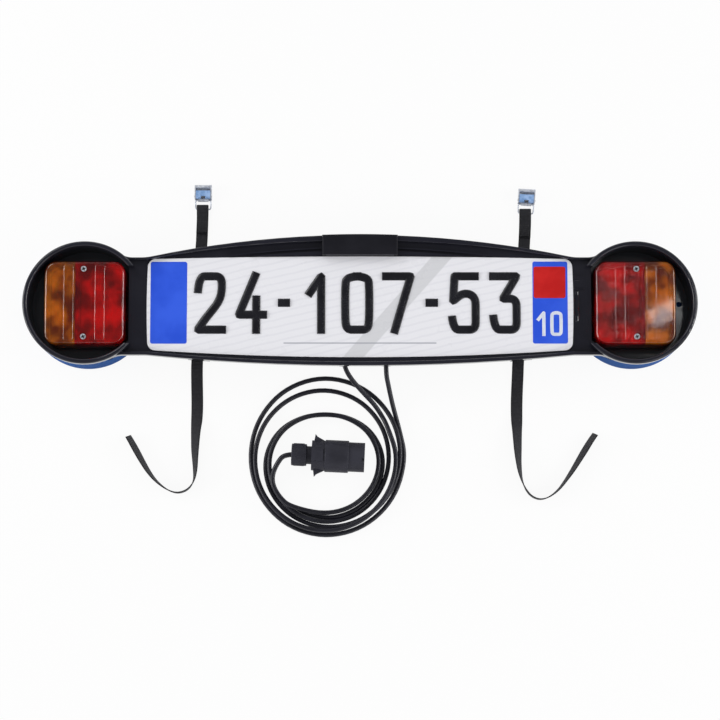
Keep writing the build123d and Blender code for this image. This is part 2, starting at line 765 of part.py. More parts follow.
# Plug: stations run along its axis from the rear of the gland nut
plug_z = plug_radius + 0.3
plug_way = Vector(cos(radians(plug_turn)), sin(radians(plug_turn)), 0)
plug_across = Vector(-plug_way.Y, plug_way.X, 0)
plug_origin = Vector(plug_place[0], axis_y + plug_place[1], plug_z)


def plug_plane(station):
    return Plane(origin=plug_origin + plug_way * station, x_dir=plug_across, z_dir=plug_way)


collar_at = gland_length + gland_neck_length
body_at = collar_at + collar_length
ear_at = collar_at + ear_step
nose_at = body_at + plug_body_length
plug_end = nose_at + nose_length
seat_at = plug_end - nose_depth
with BuildPart() as plug_shell:
    with BuildSketch(plug_plane(gland_length)):
        Circle(gland_neck_radius)
    extrude(amount=gland_neck_length)
    with BuildSketch(plug_plane(collar_at)):
        Circle(collar_radius)
    extrude(amount=collar_length)
    with BuildSketch(Plane(origin=plug_origin - Vector(0, 0, ear_thick / 2), x_dir=plug_way)):
        with BuildLine():
            Polyline((ear_at, 0), (ear_at, 17), (ear_at + 1.4, ear_reach), (ear_at + 4, 23), (body_at, 18),
                     (body_at, -18), (ear_at + 4, -23), (ear_at + 1.4, -ear_reach), (ear_at, -17), (ear_at, 0))
        make_face()
    extrude(amount=ear_thick)
    with BuildSketch(plug_plane(collar_at)):
        with Locations((0, collar_radius + panel_rise)):
            Rectangle(panel_width, collar_radius / 3, align=(Align.CENTER, Align.MAX))
    extrude(amount=collar_length - 2 * plug_round)
    with BuildSketch(plug_plane(body_at)):
        Circle(plug_radius)
    extrude(amount=plug_body_length)
    fillet(plug_shell.edges().filter_by(GeomType.CIRCLE).filter_by(lambda e: e.radius == plug_radius), plug_round)
    with BuildSketch(plug_plane(nose_at)):
        Circle(nose_radius)
    extrude(amount=nose_length)
    with BuildSketch(plug_plane(gland_length)):
        Circle(gland_neck_radius - 3)
    extrude(amount=plug_end, mode=Mode.SUBTRACT)
    with BuildSketch(plug_plane(body_at)):
        Circle(nose_bore)
    extrude(amount=plug_end, mode=Mode.SUBTRACT)
    with BuildSketch(plug_plane(plug_end)):
        with PolarLocations(nose_radius, 1, 90 + key_turn):
            Rectangle(10, key_width)
    extrude(amount=-key_depth, mode=Mode.SUBTRACT)
save(plug_shell, "plug_shell")

with BuildPart() as plug_gland_nut:
    with BuildSketch(plug_plane(0)):
        Circle(gland_radius)
        with Locations((0, lead_pitch), (0, -lead_pitch)):
            Circle(lead_radius + thread_gap, mode=Mode.SUBTRACT)
    extrude(amount=gland_length)
    fillet(plug_gland_nut.edges().filter_by(lambda e: e.length > 6 * gland_radius), 1.2)
save(plug_gland_nut, "plug_gland_nut")

with BuildPart() as plug_insert:
    with BuildSketch(plug_plane(seat_at)):
        Circle(nose_bore - lead_gap)
        with PolarLocations(pin_circle, pin_count):
            Circle(pin_radius + thread_gap, mode=Mode.SUBTRACT)
        Circle(pin_radius + thread_gap, mode=Mode.SUBTRACT)
    extrude(amount=-insert_thick)
save(plug_insert, "plug_insert")

with BuildPart() as plug_pins:
    with BuildSketch(plug_plane(seat_at - insert_thick)):
        with PolarLocations(pin_circle, pin_count):
            Circle(pin_radius)
        Circle(pin_radius)
    extrude(amount=insert_thick + pin_length)
    fillet(plug_pins.edges().filter_by(lambda e: (e.center() - plug_origin).dot(plug_way) > seat_at + 1), 1.0)
save(plug_pins, "plug_pins")

# Tails of the two leads, one over the other from the gland nut down to the coil
gland_mouth = plug_origin + plug_way * 6
gland_rear = plug_origin - plug_way * 9
tail_route = [(gland_mouth.X, gland_mouth.Y - axis_y, plug_z),
              (gland_rear.X, gland_rear.Y - axis_y, plug_z),
              (-101, -192, 15.5), (-106, -201.7, 11), (-107.8, -211, 7.8),
              (-105.5, -221.8, 6.2), (-97.5, -234.5, 5.7), (-86, -245, 5.7)]
for name, shift in (("left", 1), ("right", -1)):
    stacked = [(x, y, z + shift * lead_pitch) for x, y, z in tail_route[:2]]
    stacked += [(x, y, z + shift * tail_pitch) for x, y, z in tail_route[2:]]
    lead_tube(stacked, f"{name}_tail")

strap_low = strap_thick / 2 + strap_gap / 2
strap_flap = strap_low + strap_thick + strap_gap
strap_over = bail_z + fold_radius


def floor_run(points):
    # Lifts each rolled cross section so that its lower corner clears the floor
    lifted = []
    for x, y, roll in points:
        z = strap_width / 2 * sin(radians(roll)) + strap_thick / 2 * cos(radians(roll)) + strap_gap / 2
        lifted.append((x, y, z, roll))
    return lifted


def fold_run(x, bar_y, flap_x):
    # Sewn flap, the fold round the lower bar of the bail, and the layer that runs back under it
    slant = fold_radius * sin(radians(45))
    return [(flap_x, bar_y - flap_length + fold_reach, strap_flap, 0), (x, bar_y - 14, strap_flap, 0),
            (x, bar_y - 7.5, strap_flap + 0.6, 0), (x, bar_y - 3.5, strap_over - 0.5, 0),
            (x, bar_y - 0.8, strap_over, 0), (x, bar_y + fold_reach, strap_over, 0),
            (x, bar_y + fold_reach + slant, bail_z + slant, 0), (x, bar_y + fold_reach + fold_radius, bail_z, 0),
            (x, bar_y + fold_reach + slant, bail_z - slant, 0), (x, bar_y + fold_reach, strap_low, 0),
            (x, bar_y - 8, strap_low, 0), (flap_x, bar_y - flap_length + fold_reach, strap_low, 0)]


def strap_piece(points, turn, name):
    # Webbing as ruled spans between cross sections; each point is x, y, z and the roll about the run
    placed = [Vector(x, axis_y + y, z) for x, y, z, roll in points]
    width_way = Vector(1, 0, 0)
    sections = []
    for i, here in enumerate(placed):
        way = (placed[min(i + 1, len(placed) - 1)] - placed[max(i - 1, 0)]).normalized()
        width_way = (width_way - way * width_way.dot(way)).normalized()
        rolled = width_way.rotate(Axis((0, 0, 0), way), turn * points[i][3])
        sections.append(Plane(origin=here, x_dir=rolled, z_dir=way))
    with BuildPart() as strap:
        for first, second in zip(sections, sections[1:]):
            with BuildSketch(first):
                Rectangle(strap_width, strap_thick)
            with BuildSketch(second):
                Rectangle(strap_width, strap_thick)
            loft(ruled=True)
    save(strap, name)
    run = sum((after - before).length for before, after in zip(placed, placed[1:]))
    print(name, "length", round(run), "fill", round(strap.part.volume / (strap_width * strap_thick * run), 3))


strap_piece(fold_run(-195.8, 124.8, -196.4)
            + [(-196.6, 86, 1.9, 0), (-196.9, 79, 3.8, 0), (-197.2, 71, strap_lift, 0),
               (-201.2, -70, strap_lift, 0), (-201.3, -79, 3.8, 0), (-201.3, -88, 1.8, 0),
               (-201.1, -99, strap_low, 0)]
            + floor_run([(-200.6, -120, 0), (-201, -138, 10), (-202, -150, 30), (-202.5, -163, 40),
                         (-202.8, -175, 47),
                         (-202.5, -187.5, 58), (-202.2, -200, 66), (-203.3, -212.3, 80), (-208.3, -221.4, 88),
                         (-215.8, -226.6, 90), (-224.9, -228.3, 90), (-234.4, -225.4, 88), (-244.1, -219.1, 84),
                         (-252.7, -211.1, 78), (-260.2, -201.3, 70), (-267.7, -188.9, 65), (-275.2, -175.4, 60),
                         (-282.1, -163.1, 63), (-285.2, -158.1, 64)]), 1, "left_strap")
strap_piece(fold_run(205.5, 119.8, 204.6)
            + [(204, 82, 1.9, 0), (203.6, 76, 3.8, 0), (203, 69, strap_lift, 0),
               (195, -70, strap_lift, 0), (194.8, -79, 3.8, 0), (194.5, -88, 1.8, 0),
               (193.9, -99, strap_low, 0)]
            + floor_run([(193.1, -120, 0), (193.1, -138, 10), (193.3, -150, 30), (193.6, -163, 40),
                         (194, -175, 47),
                         (194.6, -187.5, 58), (195.9, -200, 66), (198.3, -212.3, 80), (203.5, -224.6, 90),
                         (210.8, -233, 90), (220.9, -236.6, 90), (231.9, -233.6, 88), (243.6, -224.6, 84),
                         (252.7, -212.6, 78), (261.2, -200.2, 70), (268.9, -187.7, 65), (276.4, -175.4, 60),
                         (284, -163.1, 63), (289.4, -155.7, 64)]), -1, "right_strap")

# Cam buckles: local X across, Y away from the board, origin under the bar the frame swings on
for name, (buckle_x, buckle_y, turn) in buckle_places.items():
    buckle = Plane(origin=(buckle_x, axis_y + buckle_y, 0), x_dir=(cos(radians(turn)), sin(radians(turn)), 0))
    across = buckle.x_dir
    along = buckle.y_dir
    flank = Plane(origin=buckle.origin, x_dir=along, z_dir=across)
    cheek_in = buckle_width / 2 - sheet_thick
    top_bar_y = buckle_length - top_bar_radius

    with BuildPart() as buckle_frame:
        with Locations(buckle):
            with Locations((0, 0, buckle_lift)):
                Box(buckle_width, buckle_length, sheet_thick, align=(Align.CENTER, Align.MIN, Align.MIN))
        for end in (-1, 1):
            with BuildSketch(flank.offset(end * (cheek_in + sheet_thick / 2))) as cheek:
                with Locations((cheek_start, buckle_lift)):
                    Rectangle(buckle_length - cheek_start, cheek_top - buckle_lift, align=(Align.MIN, Align.MIN))
                fillet(cheek.vertices().group_by(Axis.Y)[-1], cheek_round)
            extrude(amount=sheet_thick / 2, both=True)
        with BuildSketch(flank):
            with Locations((top_bar_y, top_bar_z)):
                Circle(top_bar_radius)
        extrude(amount=buckle_width / 2, both=True)
        with BuildSketch(flank):
            with Locations((0, bail_z)):
                Circle(knuckle_radius)
        extrude(amount=knuckle_width / 2, both=True)
        with BuildSketch(flank):
            with Locations((0, bail_z)):
                Circle(bail_wire + running_gap)
            with Locations((pin_y, pin_z)):
                Circle(pivot_radius + running_gap)
        extrude(amount=buckle_width, both=True, mode=Mode.SUBTRACT)
    save(buckle_frame, f"{name}_buckle_frame")

    with BuildPart() as buckle_lever:
        with BuildSketch(flank):
            with Locations((pin_y, pin_z)):
                Circle(barrel_radius)
            with Locations((pin_y + 0.3, pin_z - cam_radius + cam_width)):
                Circle(cam_width)
        extrude(amount=cheek_in - lever_side_gap, both=True)
        with BuildSketch(flank):
            with Locations((pin_y, pin_z)):
                Circle(2 * barrel_radius)
        extrude(amount=spring_width / 2 + spring_room, both=True, mode=Mode.SUBTRACT)
        with Locations(buckle):
            with Locations((0, pin_y, pin_z + barrel_radius)):
                Box(2 * (cheek_in - lever_side_gap), lever_length - pin_y, lever_thick,
                    align=(Align.CENTER, Align.MIN, Align.MAX))
        fillet(buckle_lever.edges().filter_by(Axis.Z).group_by(SortBy.DISTANCE)[-1], 0.3)
        with BuildSketch(flank):
            with Locations((pin_y, pin_z)):
                Circle(pivot_radius + running_gap)
        extrude(amount=buckle_width, both=True, mode=Mode.SUBTRACT)
    save(buckle_lever, f"{name}_buckle_lever")

    with BuildPart() as buckle_pin:
        with BuildSketch(flank):
            with Locations((pin_y, pin_z)):
                Circle(pivot_radius)
        extrude(amount=buckle_width / 2 + 0.5, both=True)
    save(buckle_pin, f"{name}_buckle_pin")

    with BuildPart() as buckle_spring:
        with BuildSketch(flank):
            with Locations((pin_y, pin_z)):
                Circle(spring_radius)
                Circle(pivot_radius + lead_gap, mode=Mode.SUBTRACT)
        extrude(amount=spring_width / 2, both=True)
        with Locations(buckle):
            spring_top = pin_z + spring_radius
            with Locations((spring_width / 2, pin_y, spring_top), (-spring_width / 2, pin_y, spring_top)):
                Box(spring_wire, 5.0, spring_wire, align=(Align.CENTER, Align.MIN, Align.MAX))
    save(buckle_spring, f"{name}_buckle_spring")

    with BuildPart() as bail:
        with BuildLine(Plane(origin=buckle.origin + Vector(0, 0, bail_z), x_dir=across)) as wire:
            FilletPolyline((bail_width / 2, 0), (bail_width / 2, -bail_length), (-bail_width / 2, -bail_length),
                           (-bail_width / 2, 0), radius=bail_corner, close=True)
        with BuildSketch(Plane(origin=wire.line @ 0, z_dir=wire.line % 0)):
            Circle(bail_wire)
        sweep()
    save(bail, f"{name}_buckle_bail")
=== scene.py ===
import json
import math
import bmesh
import bpy
from mathutils import Quaternion, Vector
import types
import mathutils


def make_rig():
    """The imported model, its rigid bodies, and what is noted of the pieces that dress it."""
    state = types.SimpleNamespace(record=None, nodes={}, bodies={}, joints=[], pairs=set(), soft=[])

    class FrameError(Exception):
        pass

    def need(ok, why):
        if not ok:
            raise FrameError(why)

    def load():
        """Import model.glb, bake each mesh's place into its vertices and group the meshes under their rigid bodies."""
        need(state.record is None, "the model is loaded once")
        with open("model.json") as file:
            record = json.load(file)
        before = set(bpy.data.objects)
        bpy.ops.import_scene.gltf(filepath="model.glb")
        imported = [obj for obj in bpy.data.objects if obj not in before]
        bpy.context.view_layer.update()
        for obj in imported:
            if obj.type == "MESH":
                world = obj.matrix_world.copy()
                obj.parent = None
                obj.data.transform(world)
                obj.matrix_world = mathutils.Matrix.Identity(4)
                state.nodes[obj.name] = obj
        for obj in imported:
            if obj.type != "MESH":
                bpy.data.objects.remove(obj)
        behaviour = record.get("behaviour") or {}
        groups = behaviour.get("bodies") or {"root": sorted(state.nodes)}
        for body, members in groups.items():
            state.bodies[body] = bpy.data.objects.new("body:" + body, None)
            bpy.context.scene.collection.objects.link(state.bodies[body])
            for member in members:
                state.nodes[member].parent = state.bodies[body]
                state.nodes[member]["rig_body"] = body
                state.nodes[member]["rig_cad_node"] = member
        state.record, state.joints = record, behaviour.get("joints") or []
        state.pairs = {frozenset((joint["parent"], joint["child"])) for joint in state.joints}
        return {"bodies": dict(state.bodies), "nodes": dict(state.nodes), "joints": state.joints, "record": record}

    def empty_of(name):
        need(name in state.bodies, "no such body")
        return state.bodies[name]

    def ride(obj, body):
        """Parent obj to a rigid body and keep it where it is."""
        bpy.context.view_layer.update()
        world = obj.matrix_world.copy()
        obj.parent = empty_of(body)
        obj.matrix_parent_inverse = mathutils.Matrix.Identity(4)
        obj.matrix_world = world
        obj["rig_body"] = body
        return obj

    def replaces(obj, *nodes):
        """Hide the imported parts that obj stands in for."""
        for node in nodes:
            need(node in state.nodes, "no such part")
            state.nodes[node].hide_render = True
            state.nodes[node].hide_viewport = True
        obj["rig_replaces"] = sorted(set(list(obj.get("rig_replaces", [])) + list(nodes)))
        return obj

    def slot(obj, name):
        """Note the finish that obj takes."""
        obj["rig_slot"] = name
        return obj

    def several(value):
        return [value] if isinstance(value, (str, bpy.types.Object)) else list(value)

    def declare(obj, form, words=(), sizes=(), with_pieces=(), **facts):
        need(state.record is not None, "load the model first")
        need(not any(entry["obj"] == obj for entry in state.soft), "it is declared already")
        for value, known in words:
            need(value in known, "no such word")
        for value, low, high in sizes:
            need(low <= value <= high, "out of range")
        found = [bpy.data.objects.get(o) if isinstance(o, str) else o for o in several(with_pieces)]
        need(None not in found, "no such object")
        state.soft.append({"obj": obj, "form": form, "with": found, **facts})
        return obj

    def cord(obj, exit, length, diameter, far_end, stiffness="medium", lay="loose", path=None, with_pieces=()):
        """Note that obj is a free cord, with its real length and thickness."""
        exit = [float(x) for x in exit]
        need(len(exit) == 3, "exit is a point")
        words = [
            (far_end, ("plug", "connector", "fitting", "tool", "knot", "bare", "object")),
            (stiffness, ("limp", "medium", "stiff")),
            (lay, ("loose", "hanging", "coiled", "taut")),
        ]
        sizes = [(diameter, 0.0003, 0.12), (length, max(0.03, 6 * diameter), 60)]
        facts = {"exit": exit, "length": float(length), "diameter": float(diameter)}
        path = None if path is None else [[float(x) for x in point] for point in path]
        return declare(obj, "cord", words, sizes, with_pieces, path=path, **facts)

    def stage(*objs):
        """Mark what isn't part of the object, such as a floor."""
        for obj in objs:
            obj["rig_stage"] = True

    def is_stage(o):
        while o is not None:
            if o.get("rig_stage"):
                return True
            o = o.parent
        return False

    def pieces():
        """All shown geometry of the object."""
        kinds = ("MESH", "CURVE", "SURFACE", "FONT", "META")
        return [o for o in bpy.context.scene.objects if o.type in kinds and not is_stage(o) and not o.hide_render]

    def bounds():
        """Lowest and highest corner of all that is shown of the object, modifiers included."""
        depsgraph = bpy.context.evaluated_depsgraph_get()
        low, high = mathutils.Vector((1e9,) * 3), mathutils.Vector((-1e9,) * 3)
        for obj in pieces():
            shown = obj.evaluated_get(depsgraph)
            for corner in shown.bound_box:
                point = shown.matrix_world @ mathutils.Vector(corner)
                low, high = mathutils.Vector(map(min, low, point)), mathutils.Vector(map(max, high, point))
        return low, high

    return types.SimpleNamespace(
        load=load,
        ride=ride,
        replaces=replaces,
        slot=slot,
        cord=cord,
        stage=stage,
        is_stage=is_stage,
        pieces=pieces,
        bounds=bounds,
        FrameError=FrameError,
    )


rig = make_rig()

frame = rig.load()
nodes = frame["nodes"]
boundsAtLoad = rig.bounds()
mm = 0.001
axisY = -3.95
print("frame loaded:", len(nodes), "nodes")


# Node sockets that add, subtract, multiply and divide like numbers
class Wire:
    def __init__(self, graph, socket):
        self.graph = graph
        self.socket = socket

    def math(self, operation, other=0.0):
        return self.graph.add("ShaderNodeMath", {"operation": operation}, {0: self, 1: other})

    def __add__(self, other):
        return self.math("ADD", other)

    def __sub__(self, other):
        return self.math("SUBTRACT", other)

    def __mul__(self, other):
        return self.math("MULTIPLY", other)

    def __truediv__(self, other):
        return self.math("DIVIDE", other)

    def __abs__(self):
        return self.math("ABSOLUTE")

    def wave(self, length):
        return (self * (2 * math.pi / length)).math("SINE")


class Graph:
    def __init__(self, tree):
        self.tree = tree

    def add(self, kind, settings=None, inputs=None, output=0):
        node = self.tree.nodes.new(kind)
        for key, value in (settings or {}).items():
            setattr(node, key, value)
        for key, value in (inputs or {}).items():
            self.feed(node.inputs[key], value)
        return Wire(self, node.outputs[output])

    def feed(self, socket, value):
        if isinstance(value, Wire):
            self.tree.links.new(value.socket, socket)
        else:
            socket.default_value = value

    def place(self):
        return self.add("ShaderNodeTexCoord", output="Object")

    def axes(self, where):
        return [self.add("ShaderNodeSeparateXYZ", {}, {0: where}, output) for output in range(3)]

    def vector(self, x=0.0, y=0.0, z=0.0):
        return self.add("ShaderNodeCombineXYZ", {}, {0: x, 1: y, 2: z})

    def noise(self, where, scale, detail=3.0, rough=0.55):
        inputs = {"Vector": where, "Scale": scale, "Detail": detail, "Roughness": rough}
        return self.add("ShaderNodeTexNoise", {}, inputs, "Fac")

    def step(self, value, low, high, start=0.0, end=1.0):
        return self.add("ShaderNodeMapRange", {"interpolation_type": "SMOOTHSTEP"},
                        {0: value, 1: low, 2: high, 3: start, 4: end})

    def mix(self, share, first, second):
        return self.add("ShaderNodeMix", {"data_type": "RGBA"}, {0: share, 6: first, 7: second}, 2)

    def bump(self, height, strength, distance=0.0003):
        inputs = {"Height": height, "Strength": strength, "Distance": distance}
        return self.add("ShaderNodeBump", {}, inputs)

    def dress(self, geometry, material):
        inputs = {"Geometry": geometry, "Material": finishes[material]}
        return self.add("GeometryNodeSetMaterial", {}, inputs)

    def rays(self):
        kinds = ("Is Camera Ray", "Is Glossy Ray", "Is Transmission Ray")
        return [self.add("ShaderNodeLightPath", output=kind) for kind in kinds]


# Empty node tree of a material or of the world
def cleared(owner):
    owner.use_nodes = True
    owner.node_tree.nodes.clear()
    return Graph(owner.node_tree)


def finish(name, values, build):
    material = bpy.data.materials.new(name)
    graph = cleared(material)
    shader = graph.tree.nodes.new("ShaderNodeBsdfPrincipled")
    output = graph.tree.nodes.new("ShaderNodeOutputMaterial")
    graph.tree.links.new(shader.outputs[0], output.inputs["Surface"])
    for key, value in values.items():
        shader.inputs[key].default_value = value
    for key, value in build(graph).items():
        graph.feed(shader.inputs[key], value)
    return material


# Share of painted light in the cups, a lighter tint standing in for light reflected onto the deep floors and low
# walls: none above a height, and most of it on faces that look up
def paintedCupLightShare(graph, where, paintedCupLight):
    facing = graph.axes(graph.add("ShaderNodeNewGeometry", output="Normal"))[2]
    deep = graph.step(graph.axes(where)[2], paintedCupLight["deep"], paintedCupLight["shallow"], 1.0, 0.0)
    return deep * graph.step(facing, *paintedCupLight["tilt"], paintedCupLight["walls"], 1.0)


# Range in which most of a noise lies
spread = (0.3, 0.7)


# Moulded or cast surface: a drifting tint, a worn sheen and a fine grain, and for the board a painted light that tints
# the deep cup floors lighter
def surface(name, look):
    def build(graph):
        where = graph.place()
        drift = graph.noise(where, look["drift"], 4.0)
        grain = graph.noise(where, look["grain"], 2.0, 0.5)
        tint = graph.mix(graph.step(drift, *spread), look["dark"], look["light"])
        # Painted light: the board's deep cup floors and low walls are tinted lighter, in place of light reflected into
        # the cups
        if "paintedCupLight" in look:
            tint = graph.mix(paintedCupLightShare(graph, where, look["paintedCupLight"]), tint, look["paintedCupLight"]["tint"])
        return {
            "Base Color": tint,
            "Roughness": graph.step(drift * 0.6 + grain * 0.4, *spread, *look["rough"]),
            "Normal": graph.bump(grain, look["bump"]),
        }
    return finish(name, look.get("values", {}), build)


looks = {
    "board": {"dark": (0.0120, 0.0122, 0.0190, 1), "light": (0.0170, 0.0172, 0.0255, 1),
              "drift": 14, "grain": 900, "rough": (0.09, 0.16), "bump": 0.05,
              # painted light in the cups: a lighter bluish tint below a height, strongest on faces that look up
              "paintedCupLight": {"deep": 0.034, "shallow": 0.044, "tilt": (0.5, 0.9), "walls": 0.4,
                       "tint": (0.044, 0.050, 0.064, 1)},
              "values": {"Specular IOR Level": 0.4}},
    "cover": {"dark": (0.016, 0.075, 0.270, 1), "light": (0.026, 0.102, 0.340, 1),
              "drift": 18, "grain": 1400, "rough": (0.72, 0.84), "bump": 0.12,
              "values": {"Specular IOR Level": 0.08}},
    "lamp_base": {"dark": (0.010, 0.010, 0.012, 1), "light": (0.016, 0.016, 0.018, 1),
                  "drift": 22, "grain": 1200, "rough": (0.40, 0.52), "bump": 0.15},
    "gasket": {"dark": (0.012, 0.012, 0.012, 1), "light": (0.020, 0.020, 0.020, 1),
               "drift": 40, "grain": 1600, "rough": (0.65, 0.8), "bump": 0.25},
    "reflector": {"dark": (0.80, 0.80, 0.81, 1), "light": (0.93, 0.93, 0.93, 1),
                  "drift": 30, "grain": 500, "rough": (0.16, 0.28), "bump": 0.06,
                  "values": {"Metallic": 0.35}},
    "terminal": {"dark": (0.52, 0.38, 0.16, 1), "light": (0.66, 0.50, 0.24, 1),
                 "drift": 60, "grain": 900, "rough": (0.24, 0.38), "bump": 0.08,
                 "values": {"Metallic": 1.0}},
    "steel": {"dark": (0.50, 0.50, 0.51, 1), "light": (0.68, 0.68, 0.69, 1),
              "drift": 120, "grain": 1500, "rough": (0.20, 0.34), "bump": 0.08,
              "values": {"Metallic": 1.0}},
    "plate_lamp_body": {"dark": (0.005, 0.005, 0.009, 1), "light": (0.009, 0.009, 0.014, 1),
                        "drift": 25, "grain": 1100, "rough": (0.56, 0.68), "bump": 0.45,
                        "values": {"Specular IOR Level": 0.18}},
    "lead": {"dark": (0.0075, 0.0075, 0.0125, 1), "light": (0.0130, 0.0130, 0.0215, 1),
             "drift": 30, "grain": 1500, "rough": (0.34, 0.48), "bump": 0.15,
             "values": {"Specular IOR Level": 0.4}},
    "plug": {"dark": (0.017, 0.017, 0.026, 1), "light": (0.027, 0.027, 0.040, 1),
             "drift": 35, "grain": 1300, "rough": (0.48, 0.62), "bump": 0.30,
             "values": {"Specular IOR Level": 0.35}},
    "plug_insert": {"dark": (0.02, 0.02, 0.02, 1), "light": (0.035, 0.035, 0.035, 1),
                    "drift": 60, "grain": 1200, "rough": (0.45, 0.6), "bump": 0.2},
    "zinc": {"dark": (0.46, 0.49, 0.56, 1), "light": (0.74, 0.77, 0.83, 1),
             "drift": 260, "grain": 1100, "rough": (0.26, 0.42), "bump": 0.12,
             "values": {"Metallic": 0.3}},
    "lever": {"dark": (0.20, 0.36, 0.66, 1), "light": (0.38, 0.56, 0.88, 1),
              "drift": 180, "grain": 900, "rough": (0.28, 0.42), "bump": 0.12,
              "values": {"Metallic": 0.15}},
    "bandBlue": {"dark": (0.014, 0.078, 0.68, 1), "light": (0.024, 0.105, 0.78, 1),
                 "drift": 25, "grain": 1600, "rough": (0.28, 0.4), "bump": 0.08},
    "markRed": {"dark": (0.50, 0.008, 0.008, 1), "light": (0.60, 0.014, 0.013, 1),
                "drift": 40, "grain": 1600, "rough": (0.3, 0.42), "bump": 0.08,
                "values": {"Specular IOR Level": 0.25}},
    "markPale": {"dark": (0.62, 0.66, 0.78, 1), "light": (0.74, 0.77, 0.86, 1),
                 "drift": 40, "grain": 1600, "rough": (0.3, 0.42), "bump": 0.08},
    "ink": {"dark": (0.006, 0.006, 0.009, 1), "light": (0.011, 0.011, 0.016, 1),
            "drift": 40, "grain": 1400, "rough": (0.20, 0.30), "bump": 0.10},
    "thread": {"dark": (0.016, 0.016, 0.019, 1), "light": (0.030, 0.030, 0.035, 1),
               "drift": 300, "grain": 2600, "rough": (0.6, 0.75), "bump": 0.3},
}
finishes = {name: surface(name, look) for name, look in looks.items()}


# Clear or coloured lens: small pillow prisms and cloudy patches seen through a glossy outer skin
pillows = {"tint": 0.08, "cloud": (0.36, 0.66), "patch": 0.15}


def lens(name, look):
    def build(graph):
        where = graph.place()
        x, y = graph.axes(where)[:2]
        pillow = x.wave(look["pitch"]) * y.wave(look["pitch"])
        patch = graph.noise(where, look["patch"])
        cloud = graph.step(patch + pillow * pillows["tint"], *pillows["cloud"])
        return {
            "Base Color": graph.mix(cloud, look["dark"], look["light"]),
            "Roughness": graph.step(patch, *spread, *look["rough"]),
            "Normal": graph.bump(pillow + patch * pillows["patch"], look["bump"]),
        }
    return finish(name, look["values"], build)


tinted = {"Transmission Weight": 0.76, "IOR": 1.49, "Coat Weight": 0.6, "Coat Roughness": 0.04}
lensLooks = {
    "red_lens": {"dark": (0.24, 0.001, 0.002, 1), "light": (1.0, 0.005, 0.005, 1),
                 "pitch": 0.003, "patch": 34, "rough": (0.03, 0.07), "bump": 0.12, "values": tinted},
    "amber_lens": {"dark": (0.22, 0.026, 0.002, 1), "light": (1.0, 0.29, 0.008, 1),
                   "pitch": 0.003, "patch": 38, "rough": (0.03, 0.07), "bump": 0.12, "values": tinted},
    # clear_lens is tinted dark grey: painted shade along the plate lamp's lower edge, where a clear lens would show
    # the plate's white
    "clear_lens": {"dark": (0.05, 0.05, 0.06, 1), "light": (0.09, 0.09, 0.11, 1),
                   "pitch": 0.002, "patch": 60, "rough": (0.45, 0.60), "bump": 0.3,
                   "values": {"Transmission Weight": 0.4, "IOR": 1.15}},
    "bulb_glass": {"dark": (0.93, 0.94, 0.94, 1), "light": (0.98, 0.98, 0.98, 1),
                   "pitch": 0.02, "patch": 80, "rough": (0.02, 0.05), "bump": 0.05,
                   "values": {"Transmission Weight": 0.95, "IOR": 1.3}},
}
for name, look in lensLooks.items():
    finishes[name] = lens(name, look)


# Reflective number plate sheet: faint waves, a pale slanting stripe and a thin grey rule near the lower edge
sheet = {
    "drift": 30, "grain": 2600, "bump": 0.05, "rough": (0.26, 0.36),
    "white": (0.81, 0.81, 0.85, 1), "shade": (0.765, 0.765, 0.81, 1),
    "waves": {"length": 0.0088, "slope": 0.23, "wander": 0.5, "crest": (0.3, 1.0)},
    "stripe": {"middle": (0.0519, -0.0011), "across": (0.751, 0.661), "half": (0.0085, 0.0105),
               "share": 0.75, "tint": (0.60, 0.605, 0.63, 1)},
    "rule": {"y": -0.0522, "half": (0.0004, 0.0009), "reach": (0.092, 0.094),
             "tint": (0.34, 0.35, 0.40, 1)},
}


def plateSheet():
    waves, stripe, rule = sheet["waves"], sheet["stripe"], sheet["rule"]

    def build(graph):
        where = graph.place()
        x, y = graph.axes(where)[:2]
        drift = graph.noise(where, sheet["drift"])
        lines = ((y - x * waves["slope"]) * (1 / waves["length"]) + drift * waves["wander"]).wave(1)
        middleX, middleY = stripe["middle"]
        acrossX, acrossY = stripe["across"]
        slant = abs((x - middleX) * acrossX - (y - middleY) * acrossY)
        striped = graph.step(slant, *stripe["half"], 1.0, 0.0)
        ruled = graph.step(abs(y - rule["y"]), *rule["half"], 1.0, 0.0)
        ruled = ruled * graph.step(abs(x), *rule["reach"], 1.0, 0.0)
        tint = graph.mix(graph.step(lines, *waves["crest"]), sheet["white"], sheet["shade"])
        tint = graph.mix(striped * stripe["share"], tint, stripe["tint"])
        return {
            "Base Color": graph.mix(ruled, tint, rule["tint"]),
            "Roughness": graph.step(drift, *spread, *sheet["rough"]),
            "Normal": graph.bump(graph.noise(where, sheet["grain"], 1.0), sheet["bump"]),
        }
    return finish("plate", {"Specular IOR Level": 0.4}, build)


# Woven webbing: UV runs across the band and along it in millimetres
cloth = {
    "rib": {"pitch": 1.7, "share": 0.6}, "warp": {"pitch": 1.2, "share": 0.4},
    "fuzz": {"scale": 1800, "share": 0.8}, "relief": (-0.6, 1.5), "rough": (0.62, 0.8),
    "dark": (0.008, 0.008, 0.010, 1), "light": (0.024, 0.024, 0.030, 1),
    "edge": {"middle": 7.25, "from": (5.6, 6.2), "share": 0.5, "tint": (0.007, 0.007, 0.009, 1)},
    "bump": 0.6, "depth": 0.0004,
}


